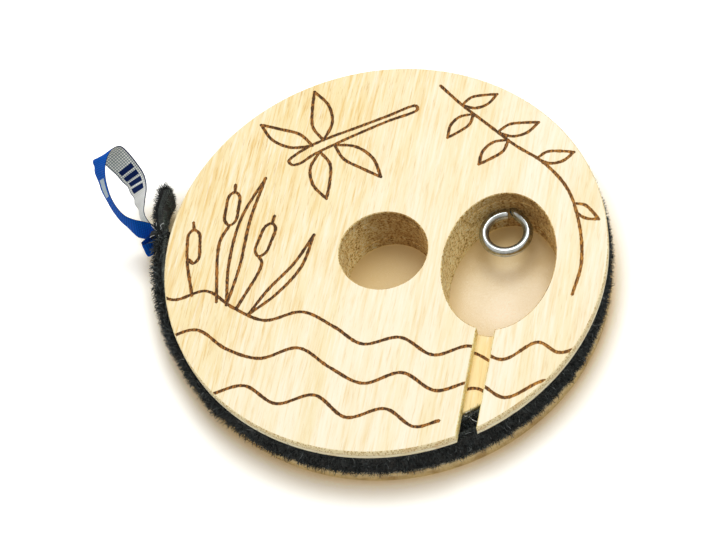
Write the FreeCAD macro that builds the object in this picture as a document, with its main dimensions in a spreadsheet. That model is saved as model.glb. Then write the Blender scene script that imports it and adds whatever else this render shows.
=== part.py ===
"""Fishing line winder: a flanged bamboo disc with a finger hole, an oval window that holds a screw
eye, a line slot, and a hook-and-loop strap with a ribbon pull tab, wound into the groove of the rim.

Millimetres. The origin is on the axis of the finger hole at the underside. +Z is up through the
three panels, and +Y runs with the grain, from the line slot towards the shank of the screw eye.
Angles are in degrees, counter-clockwise from +X. The strap is wound clockwise, seen from above.
"""
import FreeCAD, Part
import math
import os
import Sketcher

DIMENSIONS = [
    # panels
    ("disc_radius", 50.0, "outer radius of both cheeks"),
    ("core_radius", 44.0, "floor of the groove that holds the line"),
    ("cheek_thickness", 3.0, "bamboo sheet of each cheek"),
    ("core_thickness", 8.0, "bamboo core, and the width of the groove"),
    ("edge_break", 0.25, "sanded corner of the cheeks"),
    ("hole_radius", 10.0, "round finger hole on the axis"),
    ("oval_x", 26.2, "centre of the oval window, and axis of the screw eye's shank"),
    ("oval_half_width", 12.5, "oval window, across the grain"),
    ("oval_half_length", 17.5, "oval window, along the grain"),
    ("slot_width", 4.0, "line slot in the upper cheek"),
    # screw eye
    ("wire_radius", 1.15, "steel wire of the screw eye"),
    ("ring_radius", 5.0, "ring, centreline"),
    ("neck_radius", 1.6, "bend between the shank and the ring, centreline"),
    ("neck_angle", 50.0, "turn of that bend"),
    ("neck_length", 2.3, "straight wire from the bend to the ring"),
    ("ring_end_angle", 94.0, "cut end of the ring"),
    ("neck_sink", 0.3, "start of the bend, below the window's wall"),
    ("shank_depth", 10.0, "straight shank inside the core"),
    ("point_length", 3.5, "gimlet point of the shank, past that"),
    ("mouth_radius", 1.5, "worn mouth of the pilot hole"),
    # strap
    ("tape_width", 7.4, "strap, across the groove"),
    ("hook_thickness", 1.3, "hook tape, the inner side of the strap"),
    ("loop_thickness", 1.7, "loop tape, the outer side of the strap"),
    ("strap_pitch", 3.3, "growth of the wrap from turn to turn"),
    ("strap_start", 120.0, "inner end of the strap"),
    ("climb_turn", 60.0, "turn in which the strap climbs over its inner end"),
    ("link_1_start", 300.0, "where the outer turn begins to peel"),
    ("loose_radius", 50.0, "strap that still lies in the groove, middle"),
    ("loose_turn", 75.0, "turn of that stretch"),
    ("lift_radius", 60.0, "strap that has left the groove, middle"),
    ("lift_turn", 39.0, "turn of that stretch, up to the seam"),
    ("link_gap", 0.3, "gap between two links at their outer face"),
    # folded end and seam
    ("fold_length", 12.6, "folded end, from the seam to its tip"),
    ("fold_thickness", 4.7, "folded end, all its layers"),
    ("fold_loop", 1.5, "loop tape of the folded end"),
    ("fold_slit", 0.3, "gap between the two hook sides"),
    ("seam_length", 0.9, "thread along the strap"),
    ("seam_thickness", 0.35, "thread standing proud of the strap"),
    ("seam_play", 0.03, "room inside the thread for the curve of the strap"),
    # ribbon
    ("ribbon_width", 8.0, "woven ribbon"),
    ("ribbon_thickness", 0.5, "woven ribbon"),
    ("ribbon_clearance", 0.35, "between the loop and the strap"),
    ("root_length", 4.6, "sewn end of the ribbon, along the strap"),
    ("root_width", 5.0, "sewn end of the ribbon, across the strap"),
    ("root_thickness", 1.2, "sewn end, folded double"),
    ("neck_thickness", 0.6, "ribbon folded back over the thread"),
    ("neck_back", 2.0, "start of that fold, behind the crease"),
    ("neck_front", 0.9, "end of that fold, past the crease"),
    ("tab_forward", 1.15, "upper corner of the loop's start, past the crease"),
    ("tab_outward", 1.9, "upper corner of the loop's start, from the strap's middle"),
    ("tab_height", 11.0, "upper corner of the loop's start, above the underside"),
]
LOOSE_LINKS = 3
LIFTED_LINKS = 2

# Middle of the ribbon's loop in its own plane: along the tab, then across it.
RIBBON_CURVE = [
    (0.0, -0.45),
    (2.6, -2.9),
    (6.4, -6.5),
    (11.6, -7.1),
    (16.4, -5.7),
    (20.3, -2.0),
    (20.0, 1.0),
    (15.2, 3.1),
    (10.8, 3.3),
    (6.4, 0.5),
    (3.4, -0.3),
    (0.0, 0.45),
]
RIBBON_AXIS = FreeCAD.Vector(-0.516, 0.718, 0.466)
RIBBON_FALL = FreeCAD.Vector(-0.676, -0.008, -0.737)  # from its upper edge to its lower edge

doc = FreeCAD.newDocument("line_winder")
sheet = doc.addObject("Spreadsheet::Sheet", "sizes")
for row, (alias, value, note) in enumerate(DIMENSIONS, start=1):
    sheet.set(f"A{row}", alias)
    sheet.set(f"B{row}", str(value))
    sheet.set(f"C{row}", note)
    sheet.setAlias(f"B{row}", alias)
doc.recompute()


def size(alias):
    """The value of a driving dimension."""
    return float(sheet.get(alias))


def bind(thing, path, expression):
    """Ties a property to the sheet. A dollar sign stands for the sheet's name."""
    thing.setExpression(path, expression.replace("$", "sizes."))


def outward(angle):
    """Unit vector in the plane of the disc."""
    return FreeCAD.Vector(math.cos(math.radians(angle)), math.sin(math.radians(angle)), 0)


# ---------------------------------------------------------------- sketches and features


def new_body(label):
    body = doc.addObject("PartDesign::Body", label)
    body.Label = label
    return body


def new_sketch(body, name, plane):
    """A sketch on one of the body's own planes: XY_Plane, XZ_Plane or YZ_Plane."""
    sketch = body.newObject("Sketcher::SketchObject", name)
    face = next(f for f in body.Origin.OriginFeatures if f.Role == plane)
    sketch.AttachmentSupport = (face, [""])
    sketch.MapMode = "FlatFace"
    return sketch


def dimension(sketch, name, expression, *constraint):
    """A named dimension of a sketch, tied to the sheet."""
    index = sketch.addConstraint(Sketcher.Constraint(*constraint))
    sketch.renameConstraint(index, name)
    bind(sketch, "Constraints." + name, expression)


def draw_circle(sketch, name, alias):
    """A circle about the sketch's origin."""
    circle = Part.Circle(FreeCAD.Vector(), FreeCAD.Vector(0, 0, 1), size(alias))
    index = sketch.addGeometry(circle, False)
    sketch.addConstraint(Sketcher.Constraint("Coincident", index, 3, -1, 1))
    dimension(sketch, name, "$" + alias, "Radius", index, size(alias))


def draw_oval(sketch):
    """The outline of the oval window."""
    x, a, b = size("oval_x"), size("oval_half_length"), size("oval_half_width")
    ellipse = Part.Ellipse(
        FreeCAD.Vector(x, a, 0), FreeCAD.Vector(x + b, 0, 0), FreeCAD.Vector(x, 0, 0)
    )
    index = sketch.addGeometry(ellipse, False)
    sketch.exposeInternalGeometry(index)
    long_axis, short_axis = index + 1, index + 2
    dimension(sketch, "oval_x", "$oval_x", "DistanceX", -1, 1, index, 3, x)
    sketch.addConstraint(Sketcher.Constraint("PointOnObject", index, 3, -1))
    sketch.addConstraint(Sketcher.Constraint("Vertical", long_axis))
    dimension(sketch, "oval_length", "2 * $oval_half_length", "Distance", long_axis, 2 * a)
    dimension(sketch, "oval_width", "2 * $oval_half_width", "Distance", short_axis, 2 * b)


def draw_rectangle(sketch, left, bottom, right, top):
    """An upright rectangle. Each side is a pair: its place now, and its expression."""
    x = (left[0], right[0], right[0], left[0])
    y = (bottom[0], bottom[0], top[0], top[0])
    corners = [FreeCAD.Vector(x[i], y[i], 0) for i in range(4)]
    sides = []
    for i in range(4):
        line = Part.LineSegment(corners[i], corners[(i + 1) % 4])
        sides.append(sketch.addGeometry(line, False))
    for i in range(4):
        sketch.addConstraint(
            Sketcher.Constraint("Coincident", sides[i], 2, sides[(i + 1) % 4], 1)
        )
        direction = "Vertical" if i % 2 else "Horizontal"
        sketch.addConstraint(Sketcher.Constraint(direction, sides[i]))
    start, end = sides[0], sides[2]
    dimension(sketch, "left", left[1], "DistanceX", -1, 1, start, 1, left[0])
    dimension(sketch, "bottom", bottom[1], "DistanceY", -1, 1, start, 1, bottom[0])
    dimension(sketch, "right", right[1], "DistanceX", -1, 1, end, 1, right[0])
    dimension(sketch, "top", top[1], "DistanceY", -1, 1, end, 1, top[0])


def draw_tongue(sketch, length, length_expression, half, half_expression):
    """A tongue from the sketch's origin along its x axis, with a round tip."""
    flat = length - half
    tip = Part.ArcOfCircle(
        Part.Circle(FreeCAD.Vector(flat, 0, 0), FreeCAD.Vector(0, 0, 1), half),
        -math.pi / 2,
        math.pi / 2,
    )
    low = Part.LineSegment(FreeCAD.Vector(0, -half, 0), FreeCAD.Vector(flat, -half, 0))
    high = Part.LineSegment(FreeCAD.Vector(flat, half, 0), FreeCAD.Vector(0, half, 0))
    root = Part.LineSegment(FreeCAD.Vector(0, half, 0), FreeCAD.Vector(0, -half, 0))
    low, tip, high, root = (sketch.addGeometry(g, False) for g in (low, tip, high, root))
    for first, second in ((low, tip), (tip, high)):
        sketch.addConstraint(Sketcher.Constraint("Tangent", first, 2, second, 1))
    for first, second in ((high, root), (root, low)):
        sketch.addConstraint(Sketcher.Constraint("Coincident", first, 2, second, 1))
    sketch.addConstraint(Sketcher.Constraint("PointOnObject", tip, 3, -1))
    sketch.addConstraint(Sketcher.Constraint("PointOnObject", root, 1, -2))
    sketch.addConstraint(Sketcher.Constraint("PointOnObject", root, 2, -2))
    dimension(sketch, "half", half_expression, "Radius", tip, half)
    reach = f"{length_expression} - ({half_expression})"
    dimension(sketch, "reach", reach, "DistanceX", -1, 1, tip, 3, flat)


def add_pad(body, sketch, length):
    pad = body.newObject("PartDesign::Pad", sketch.Name + "_pad")
    pad.Profile = sketch
    bind(pad, "Length", length)
    return pad


def add_pocket(body, sketch, length=None):
    """A pocket, through everything both ways where it has no length."""
    pocket = body.newObject("PartDesign::Pocket", sketch.Name + "_pocket")
    pocket.Profile = sketch
    if length is None:
        pocket.Type = "ThroughAll"
        pocket.Midplane = True
    else:
        bind(pocket, "Length", length)
    return pocket


# ---------------------------------------------------------------- bamboo panels

UNDER_CORE = "$cheek_thickness"
UNDER_TOP = "$cheek_thickness + $core_thickness"
MIDDLE = "$cheek_thickness + $core_thickness / 2"


def add_panel(label, radius, thickness, height):
    """A round panel with the finger hole and the oval window."""
    body = new_body(label)
    outline = new_sketch(body, label + "_outline", "XY_Plane")
    bind(outline, "AttachmentOffset.Base.z", height)
    draw_circle(outline, "rim", radius)
    draw_circle(outline, "finger_hole", "hole_radius")
    draw_oval(outline)
    add_pad(body, outline, thickness)
    doc.recompute()
    return body


def break_rim(body):
    """Takes the sharp corners off the outer rim."""
    base = body.Tip
    rims = []
    for number, edge in enumerate(base.Shape.Edges, start=1):
        curve = edge.Curve
        if isinstance(curve, Part.Circle) and math.isclose(curve.Radius, size("disc_radius")):
            rims.append(f"Edge{number}")
    chamfer = body.newObject("PartDesign::Chamfer", body.Label + "_edge_break")
    chamfer.Base = (base, rims)
    bind(chamfer, "Size", "$edge_break")
    doc.recompute()


lower_cheek = add_panel("lower_cheek", "disc_radius", "$cheek_thickness", "0 * $cheek_thickness")
core = add_panel("core", "core_radius", "$core_thickness", UNDER_CORE)
upper_cheek = add_panel("upper_cheek", "disc_radius", "$cheek_thickness", UNDER_TOP)

slot_outline = new_sketch(upper_cheek, "line_slot", "XY_Plane")
slot_left = size("oval_x") - size("slot_width") / 2
slot_right = size("oval_x") + size("slot_width") / 2
draw_rectangle(
    slot_outline,
    (slot_left, "$oval_x - $slot_width / 2"),
    (-size("disc_radius"), "-$disc_radius"),
    (slot_right, "$oval_x + $slot_width / 2"),
    (-size("oval_half_length") / 2, "-$oval_half_length / 2"),
)
add_pocket(upper_cheek, slot_outline)
doc.recompute()
for cheek in (lower_cheek, upper_cheek):
    break_rim(cheek)


def drill_core(name, radius, depth):
    """A round hole into the core from the window's far wall, along the grain."""
    circle = new_sketch(core, name, "XZ_Plane")
    bind(circle, "AttachmentOffset.Base.x", "$oval_x")
    bind(circle, "AttachmentOffset.Base.y", MIDDLE)
    draw_circle(circle, "bore", radius)
    pocket = add_pocket(core, circle, depth)
    doc.recompute()
    return pocket


before = core.Shape.Volume
drill_core("pilot_hole", "wire_radius", "$oval_half_length + $shank_depth + $point_length")
drill_core("pilot_mouth", "mouth_radius", "$oval_half_length + 2 * $neck_sink")
assert core.Shape.Volume < before, "the pilot hole points away from the core"

# ---------------------------------------------------------------- screw eye


def add_screw_eye():
    """Shank, neck, straight and ring in one wire, with a gimlet point and a cut end."""
    body = new_body("screw_eye")
    wall = size("oval_half_length")
    neck, ring, straight = size("neck_radius"), size("ring_radius"), size("neck_length")
    turn, end = math.radians(size("neck_angle")), math.radians(size("ring_end_angle"))
    shank_x, neck_y = size("oval_x"), wall + size("neck_sink")
    tip_y = wall + size("shank_depth")
    bend_centre = FreeCAD.Vector(shank_x + neck, neck_y, 0)
    heading = FreeCAD.Vector(math.sin(turn), -math.cos(turn), 0)
    bend_end = bend_centre - FreeCAD.Vector(math.cos(turn), math.sin(turn), 0) * neck
    ring_start = bend_end + heading * straight
    ring_centre = ring_start - FreeCAD.Vector(math.cos(turn), math.sin(turn), 0) * ring
    up = FreeCAD.Vector(0, 0, 1)

    path = new_sketch(body, "eye_path", "XY_Plane")
    bind(path, "AttachmentOffset.Base.z", MIDDLE)
    shank = path.addGeometry(
        Part.LineSegment(FreeCAD.Vector(shank_x, tip_y, 0), FreeCAD.Vector(shank_x, neck_y, 0)),
        False,
    )
    bend = path.addGeometry(
        Part.ArcOfCircle(Part.Circle(bend_centre, up, neck), math.pi, math.pi + turn), False
    )
    side = path.addGeometry(Part.LineSegment(bend_end, ring_start), False)
    loop = path.addGeometry(
        Part.ArcOfCircle(Part.Circle(ring_centre, up, ring), end - 2 * math.pi, turn), False
    )
    path.addConstraint(Sketcher.Constraint("Vertical", shank))
    path.addConstraint(Sketcher.Constraint("Tangent", shank, 2, bend, 1))
    path.addConstraint(Sketcher.Constraint("Tangent", bend, 2, side, 1))
    path.addConstraint(Sketcher.Constraint("Tangent", side, 2, loop, 2))
    dimension(path, "shank_x", "$oval_x", "DistanceX", -1, 1, shank, 1, shank_x)
    tip = "$oval_half_length + $shank_depth"
    dimension(path, "tip_y", tip, "DistanceY", -1, 1, shank, 1, tip_y)
    dimension(
        path, "neck_y", "$oval_half_length + $neck_sink", "DistanceY", -1, 1, shank, 2, neck_y
    )
    dimension(path, "neck_radius", "$neck_radius", "Radius", bend, neck)
    dimension(path, "ring_radius", "$ring_radius", "Radius", loop, ring)
    dimension(path, "straight", "$neck_length", "Distance", side, straight)
    dimension(path, "turn", "$neck_angle", "Angle", bend, turn)
    dimension(
        path, "sweep", "360 + $neck_angle - $ring_end_angle", "Angle", loop,
        2 * math.pi + turn - end,
    )

    section = new_sketch(body, "eye_wire", "XZ_Plane")
    bind(section, "AttachmentOffset.Base.x", "$oval_x")
    bind(section, "AttachmentOffset.Base.y", MIDDLE)
    bind(section, "AttachmentOffset.Base.z", f"-({tip})")
    draw_circle(section, "wire", "wire_radius")
    pipe = body.newObject("PartDesign::AdditivePipe", "eye_pipe")
    pipe.Profile = section
    pipe.Spine = path
    doc.recompute()

    point = new_sketch(body, "gimlet_point", "XY_Plane")
    bind(point, "AttachmentOffset.Base.z", MIDDLE)
    root_y, end_y = tip_y, tip_y + size("point_length")
    corners = [
        FreeCAD.Vector(shank_x, end_y, 0),
        FreeCAD.Vector(shank_x, root_y, 0),
        FreeCAD.Vector(shank_x + size("wire_radius"), root_y, 0),
    ]
    axis, base, flank = (
        point.addGeometry(Part.LineSegment(corners[i], corners[(i + 1) % 3]), False)
        for i in range(3)
    )
    for first, second in ((axis, base), (base, flank), (flank, axis)):
        point.addConstraint(Sketcher.Constraint("Coincident", first, 2, second, 1))
    point.addConstraint(Sketcher.Constraint("Vertical", axis))
    point.addConstraint(Sketcher.Constraint("Horizontal", base))
    dimension(point, "axis_x", "$oval_x", "DistanceX", -1, 1, axis, 2, shank_x)
    dimension(point, "base_y", tip, "DistanceY", -1, 1, axis, 2, root_y)
    dimension(point, "length", "$point_length", "DistanceY", axis, 2, axis, 1, end_y - root_y)
    dimension(point, "radius", "$wire_radius", "DistanceX", base, 1, base, 2, size("wire_radius"))
    cone = body.newObject("PartDesign::Revolution", "gimlet_cone")
    cone.Profile = point
    cone.ReferenceAxis = (point, ["Edge1"])
    cone.Angle = 360
    doc.recompute()


add_screw_eye()

# ---------------------------------------------------------------- strap

TAPES = {
    "hook_tape": ("hook_thickness", "0 * $hook_thickness", 0.0),
    "loop_tape": ("loop_thickness", "$hook_thickness", size("hook_thickness")),
}
TAPE_BOTTOM = "$cheek_thickness + ($core_thickness - $tape_width) / 2"
TAPE_TOP = "$cheek_thickness + ($core_thickness + $tape_width) / 2"
tape_bottom = size("cheek_thickness") + (size("core_thickness") - size("tape_width")) / 2
tape_top = tape_bottom + size("tape_width")
strap_thickness = size("hook_thickness") + size("loop_thickness")


def add_stretch(body, name, tape, centre, start, turn, inner, inner_expression):
    """A stretch of tape on an arc: from the angle start, counter-clockwise through turn."""
    thickness, offset_expression, offset = TAPES[tape]
    near = inner + offset
    near_expression = f"{inner_expression} + {offset_expression}"
    section = new_sketch(body, name, "XZ_Plane")
    section.AttachmentOffset = FreeCAD.Placement(
        FreeCAD.Vector(centre.x, 0, -centre.y),
        FreeCAD.Rotation(FreeCAD.Vector(0, 1, 0), start),
    )
    draw_rectangle(
        section,
        (near, near_expression),
        (tape_bottom, TAPE_BOTTOM),
        (near + size(thickness), f"{near_expression} + ${thickness}"),
        (tape_top, TAPE_TOP),
    )
    stretch = body.newObject("PartDesign::Revolution", name + "_turn")
    stretch.Profile = section
    stretch.ReferenceAxis = (section, ["V_Axis"])
    if isinstance(turn, str):
        bind(stretch, "Angle", turn)
    else:
        stretch.Angle = turn
    doc.recompute()
    return stretch


# Climb: two tangent arcs, the first flatter and the second tighter than the turns they join.
first_middle = size("core_radius") + strap_thickness / 2
second_middle = first_middle + size("strap_pitch")
half_climb = size("climb_turn") / 2
half_rise = size("strap_pitch") / 2
bow = half_rise * math.cos(math.radians(half_climb)) / (1 - math.cos(math.radians(half_climb)))
flat_middle = (first_middle + second_middle) / 2 + bow
tight_middle = (first_middle + second_middle) / 2 - bow
climb_start = size("strap_start") + size("climb_turn")
flat_centre = outward(climb_start) * (first_middle - flat_middle)
tight_centre = outward(size("strap_start")) * (second_middle - tight_middle)
ORIGIN = FreeCAD.Vector()
HALF_STRAP = "($hook_thickness + $loop_thickness) / 2"

for tape in TAPES:
    body = new_body(tape + "_wound")
    add_stretch(
        body, tape + "_outer_turn", tape, ORIGIN, size("link_1_start") - 360,
        "$strap_start - $link_1_start + 360",
        second_middle - strap_thickness / 2, "$core_radius + $strap_pitch",
    )
    add_stretch(
        body, tape + "_climb_end", tape, tight_centre, size("strap_start"), "$climb_turn / 2",
        tight_middle - strap_thickness / 2, f"{tight_middle} - {HALF_STRAP}",
    )
    add_stretch(
        body, tape + "_climb_start", tape, flat_centre, size("strap_start") + half_climb,
        "$climb_turn / 2", flat_middle - strap_thickness / 2, f"{flat_middle} - {HALF_STRAP}",
    )
    add_stretch(
        body, tape + "_inner_turn", tape, ORIGIN, climb_start, "360 - $climb_turn",
        first_middle - strap_thickness / 2, "$core_radius",
    )


# Links: the outer turn goes on in short stretches, each hinged at its outer corner to the last.
loose_start = size("link_1_start")
lift_start = loose_start - size("loose_turn")
loose_centre = outward(loose_start) * (second_middle - size("loose_radius"))
lift_corner = loose_centre + outward(lift_start) * size("loose_radius")
lift_centre = lift_corner - outward(lift_start) * size("lift_radius")
seam_angle = lift_start - size("lift_turn")
seam_middle = lift_centre + outward(seam_angle) * size("lift_radius")

hinges = []
stretches = (
    (LOOSE_LINKS, loose_start, "loose", loose_centre),
    (LIFTED_LINKS, lift_start, "lift", lift_centre),
)
number = 0
for count, first_angle, kind, centre in stretches:
    middle, turn = size(kind + "_radius"), size(kind + "_turn") / count
    outer = middle + strap_thickness / 2
    gap = math.degrees(size("link_gap") / outer)
    for i in range(count):
        number += 1
        high = first_angle - i * turn
        hinges.append(centre + outward(high) * outer)
        for tape in TAPES:
            body = new_body(f"{tape}_link_{number}")
            add_stretch(
                body, f"{tape}_stretch_{number}", tape, centre, high - turn, turn - gap,
                middle - strap_thickness / 2, f"${kind}_radius - {HALF_STRAP}",
            )

# ---------------------------------------------------------------- seam and folded end

along_strap = FreeCAD.Rotation(FreeCAD.Vector(0, 0, 1), seam_angle - 90)
heading = along_strap.multVec(FreeCAD.Vector(1, 0, 0))


def add_seam():
    """Thread wrapped round the strap at the crease, in a frame along the strap."""
    body = new_body("seam_thread")
    outline = new_sketch(body, "seam_outline", "YZ_Plane")
    half, proud = strap_thickness / 2, size("seam_thickness")
    far = half + size("root_thickness")
    draw_rectangle(
        outline,
        (-half - proud, f"-{HALF_STRAP} - $seam_thickness"),
        (tape_bottom - proud, f"{TAPE_BOTTOM} - $seam_thickness"),
        (far + proud, f"{HALF_STRAP} + $root_thickness + $seam_thickness"),
        (tape_top + proud, f"{TAPE_TOP} + $seam_thickness"),
    )
    add_pad(body, outline, "$seam_length")
    doc.recompute()
    opening = new_sketch(body, "seam_opening", "YZ_Plane")
    draw_rectangle(
        opening,
        (-half - size("seam_play"), f"-{HALF_STRAP} - $seam_play"),
        (tape_bottom, TAPE_BOTTOM),
        (far, f"{HALF_STRAP} + $root_thickness"),
        (tape_top, TAPE_TOP),
    )
    add_pocket(body, opening)
    body.Placement = FreeCAD.Placement(seam_middle - heading * size("seam_length"), along_strap)
    doc.recompute()


add_seam()
FOLD_INNER = "$fold_thickness / 2 - $fold_loop"
fold_inner = size("fold_thickness") / 2 - size("fold_loop")
FOLD_LAYERS = {
    "loop_tape_fold": (
        (size("fold_length"), "$fold_length", size("fold_thickness") / 2, "$fold_thickness / 2"),
        (size("fold_length") - size("fold_loop"), "$fold_length - $fold_loop",
         fold_inner, FOLD_INNER),
    ),
    "hook_tape_fold": (
        (size("fold_length") - size("fold_loop"), "$fold_length - $fold_loop",
         fold_inner, FOLD_INNER),
        (size("fold_length") - 2 * size("fold_loop"), "$fold_length - 2 * $fold_loop",
         size("fold_slit") / 2, "$fold_slit / 2"),
    ),
}
for label, (outside, inside) in FOLD_LAYERS.items():
    body = new_body(label)
    outer_sketch = new_sketch(body, label + "_outside", "XY_Plane")
    bind(outer_sketch, "AttachmentOffset.Base.z", TAPE_BOTTOM)
    draw_tongue(outer_sketch, *outside)
    add_pad(body, outer_sketch, "$tape_width")
    doc.recompute()
    inner_sketch = new_sketch(body, label + "_inside", "XY_Plane")
    draw_tongue(inner_sketch, *inside)
    add_pocket(body, inner_sketch)
    body.Placement = FreeCAD.Placement(seam_middle, along_strap)
    doc.recompute()

# ---------------------------------------------------------------- ribbon

outward_of_strap = along_strap.multVec(FreeCAD.Vector(0, 1, 0))
middle_height = size("cheek_thickness") + size("core_thickness") / 2
NECK_BOTTOM = "$root_thickness + $seam_thickness"
neck_bottom = size("root_thickness") + size("seam_thickness")


def add_ribbon_root():
    """The sewn end of the ribbon: doubled under the thread, and folded back over it."""
    body = new_body("ribbon_root")
    low = middle_height - size("root_width") / 2
    layers = (
        ("root", (-size("root_length"), "-$root_length"), (0.0, "0 * $root_length"),
         (0.0, "0 * $root_length"), (size("root_thickness"), "$root_thickness")),
        ("riser", (-size("neck_back"), "-$neck_back"),
         (size("root_thickness"), "$root_thickness"),
         (-size("seam_length"), "-$seam_length"),
         (neck_bottom + size("neck_thickness"), f"{NECK_BOTTOM} + $neck_thickness")),
        ("neck", (-size("neck_back"), "-$neck_back"), (neck_bottom, NECK_BOTTOM),
         (size("neck_front"), "$neck_front"),
         (neck_bottom + size("neck_thickness"), f"{NECK_BOTTOM} + $neck_thickness")),
    )
    for name, left, bottom, right, top in layers:
        outline = new_sketch(body, "ribbon_" + name, "XY_Plane")
        outline.AttachmentOffset = FreeCAD.Placement(
            FreeCAD.Vector(0, 0, low), FreeCAD.Rotation()
        )
        bind(outline, "AttachmentOffset.Base.z", f"{MIDDLE} - $root_width / 2")
        draw_rectangle(outline, left, bottom, right, top)
        add_pad(body, outline, "$root_width")
        doc.recompute()
    body.Placement = FreeCAD.Placement(
        seam_middle + outward_of_strap * (strap_thickness / 2), along_strap
    )
    doc.recompute()


def add_ribbon_loop():
    """The loop of ribbon: one strip bent to its curve, cut back where it nears the strap."""
    fall = FreeCAD.Vector(RIBBON_FALL).normalize()
    across = fall.cross(RIBBON_AXIS).normalize()
    along = across.cross(fall).normalize()
    start = (
        seam_middle
        + heading * size("tab_forward")
        + outward_of_strap * size("tab_outward")
        + FreeCAD.Vector(0, 0, size("tab_height"))
    )
    frame = FreeCAD.Placement(start, FreeCAD.Rotation(along, across, fall, "ZXY"))

    curve = Part.BSplineCurve()
    curve.interpolate([FreeCAD.Vector(u, v, 0) for u, v in RIBBON_CURVE])
    middle = Part.Wire([curve.toShape()])
    section = middle.makeOffset2D(size("ribbon_thickness") / 2, fill=True)
    strip = section.toNurbs().extrude(FreeCAD.Vector(0, 0, size("ribbon_width")))
    neck_outside = strap_thickness / 2 + neck_bottom + size("neck_thickness")
    clear = neck_outside + size("ribbon_clearance")
    reach = size("fold_length") * 2
    top = tape_top + size("seam_thickness") + size("ribbon_clearance")
    keep_out = Part.makeBox(2 * reach, reach, top)
    corner = seam_middle - heading * reach + outward_of_strap * (clear - reach)
    keep_out.Placement = frame.inverse().multiply(FreeCAD.Placement(corner, along_strap))
    loop = doc.addObject("Part::Feature", "ribbon_loop")
    loop.Label = "ribbon_loop"
    loop.Shape = strip.cut(keep_out)
    loop.Placement = frame


add_ribbon_root()
add_ribbon_loop()
doc.recompute()

# ---------------------------------------------------------------- check and write

for thing in doc.Objects:
    if {"Invalid", "Error"} & set(thing.State):
        raise RuntimeError(f"{thing.Name} failed: {thing.State}")
os.makedirs("parts", exist_ok=True)
for thing in doc.Objects:
    if thing.TypeId not in ("PartDesign::Body", "Part::Feature"):
        continue
    shape = thing.Shape
    if shape.isNull() or not shape.isValid() or not shape.Solids:
        raise RuntimeError(f"{thing.Label} has no valid solid")
    shape.exportStep(f"parts/{thing.Label}.step")
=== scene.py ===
import math
import random

import bmesh
import bpy
import numpy as np
from mathutils import Matrix, Vector
from mathutils.geometry import delaunay_2d_cdt


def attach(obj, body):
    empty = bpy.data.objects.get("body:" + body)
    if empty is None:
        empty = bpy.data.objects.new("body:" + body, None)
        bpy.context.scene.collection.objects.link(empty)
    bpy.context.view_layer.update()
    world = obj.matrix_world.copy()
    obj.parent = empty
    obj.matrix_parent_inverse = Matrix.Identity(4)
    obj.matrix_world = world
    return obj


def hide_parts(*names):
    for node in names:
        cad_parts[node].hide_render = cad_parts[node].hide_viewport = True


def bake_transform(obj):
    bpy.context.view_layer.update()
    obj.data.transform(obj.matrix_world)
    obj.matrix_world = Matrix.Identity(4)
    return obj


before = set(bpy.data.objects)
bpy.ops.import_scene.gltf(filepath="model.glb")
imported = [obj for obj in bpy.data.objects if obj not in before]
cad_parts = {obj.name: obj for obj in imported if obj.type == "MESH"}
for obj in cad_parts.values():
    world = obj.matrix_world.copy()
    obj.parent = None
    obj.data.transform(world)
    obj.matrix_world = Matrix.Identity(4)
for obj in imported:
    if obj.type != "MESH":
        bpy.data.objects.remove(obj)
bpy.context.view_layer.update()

MM = 0.001
TAU = 2 * math.pi

# ---- sizes, in millimetres

DISC_RADIUS, CORE_RADIUS, FINGER_RADIUS = 50.0, 44.0, 10.0
CHEEK, TOTAL = 3.0, 14.0
MIDDLE = TOTAL / 2
OVAL_X, OVAL_HALF_WIDTH, OVAL_HALF_LENGTH = 26.2, 12.5, 17.5
SLOT_LOW, SLOT_HIGH = 24.2, 28.2
STRAP_WIDTH, STRAP, HOOK_SIDE = 7.4, 3.0, 1.3
SEAM = Vector((-53.200, 1.839, 0.0))
SEAM_MIDDLE = Vector((SEAM.x, SEAM.y, MIDDLE))
ALONG = Vector((-0.104528, 0.994522, 0.0))
OUTWARD = Vector((-0.994522, -0.104528, 0.0))
UP = Vector((0.0, 0.0, 1.0))

# ---- node helpers


def srgb(red, green, blue):
    """A colour given in 0-255 display values, as the linear one that shaders take."""
    def linear(value):
        value /= 255
        return value / 12.92 if value <= 0.04045 else ((value + 0.055) / 1.055) ** 2.4
    return linear(red), linear(green), linear(blue), 1.0


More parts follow.
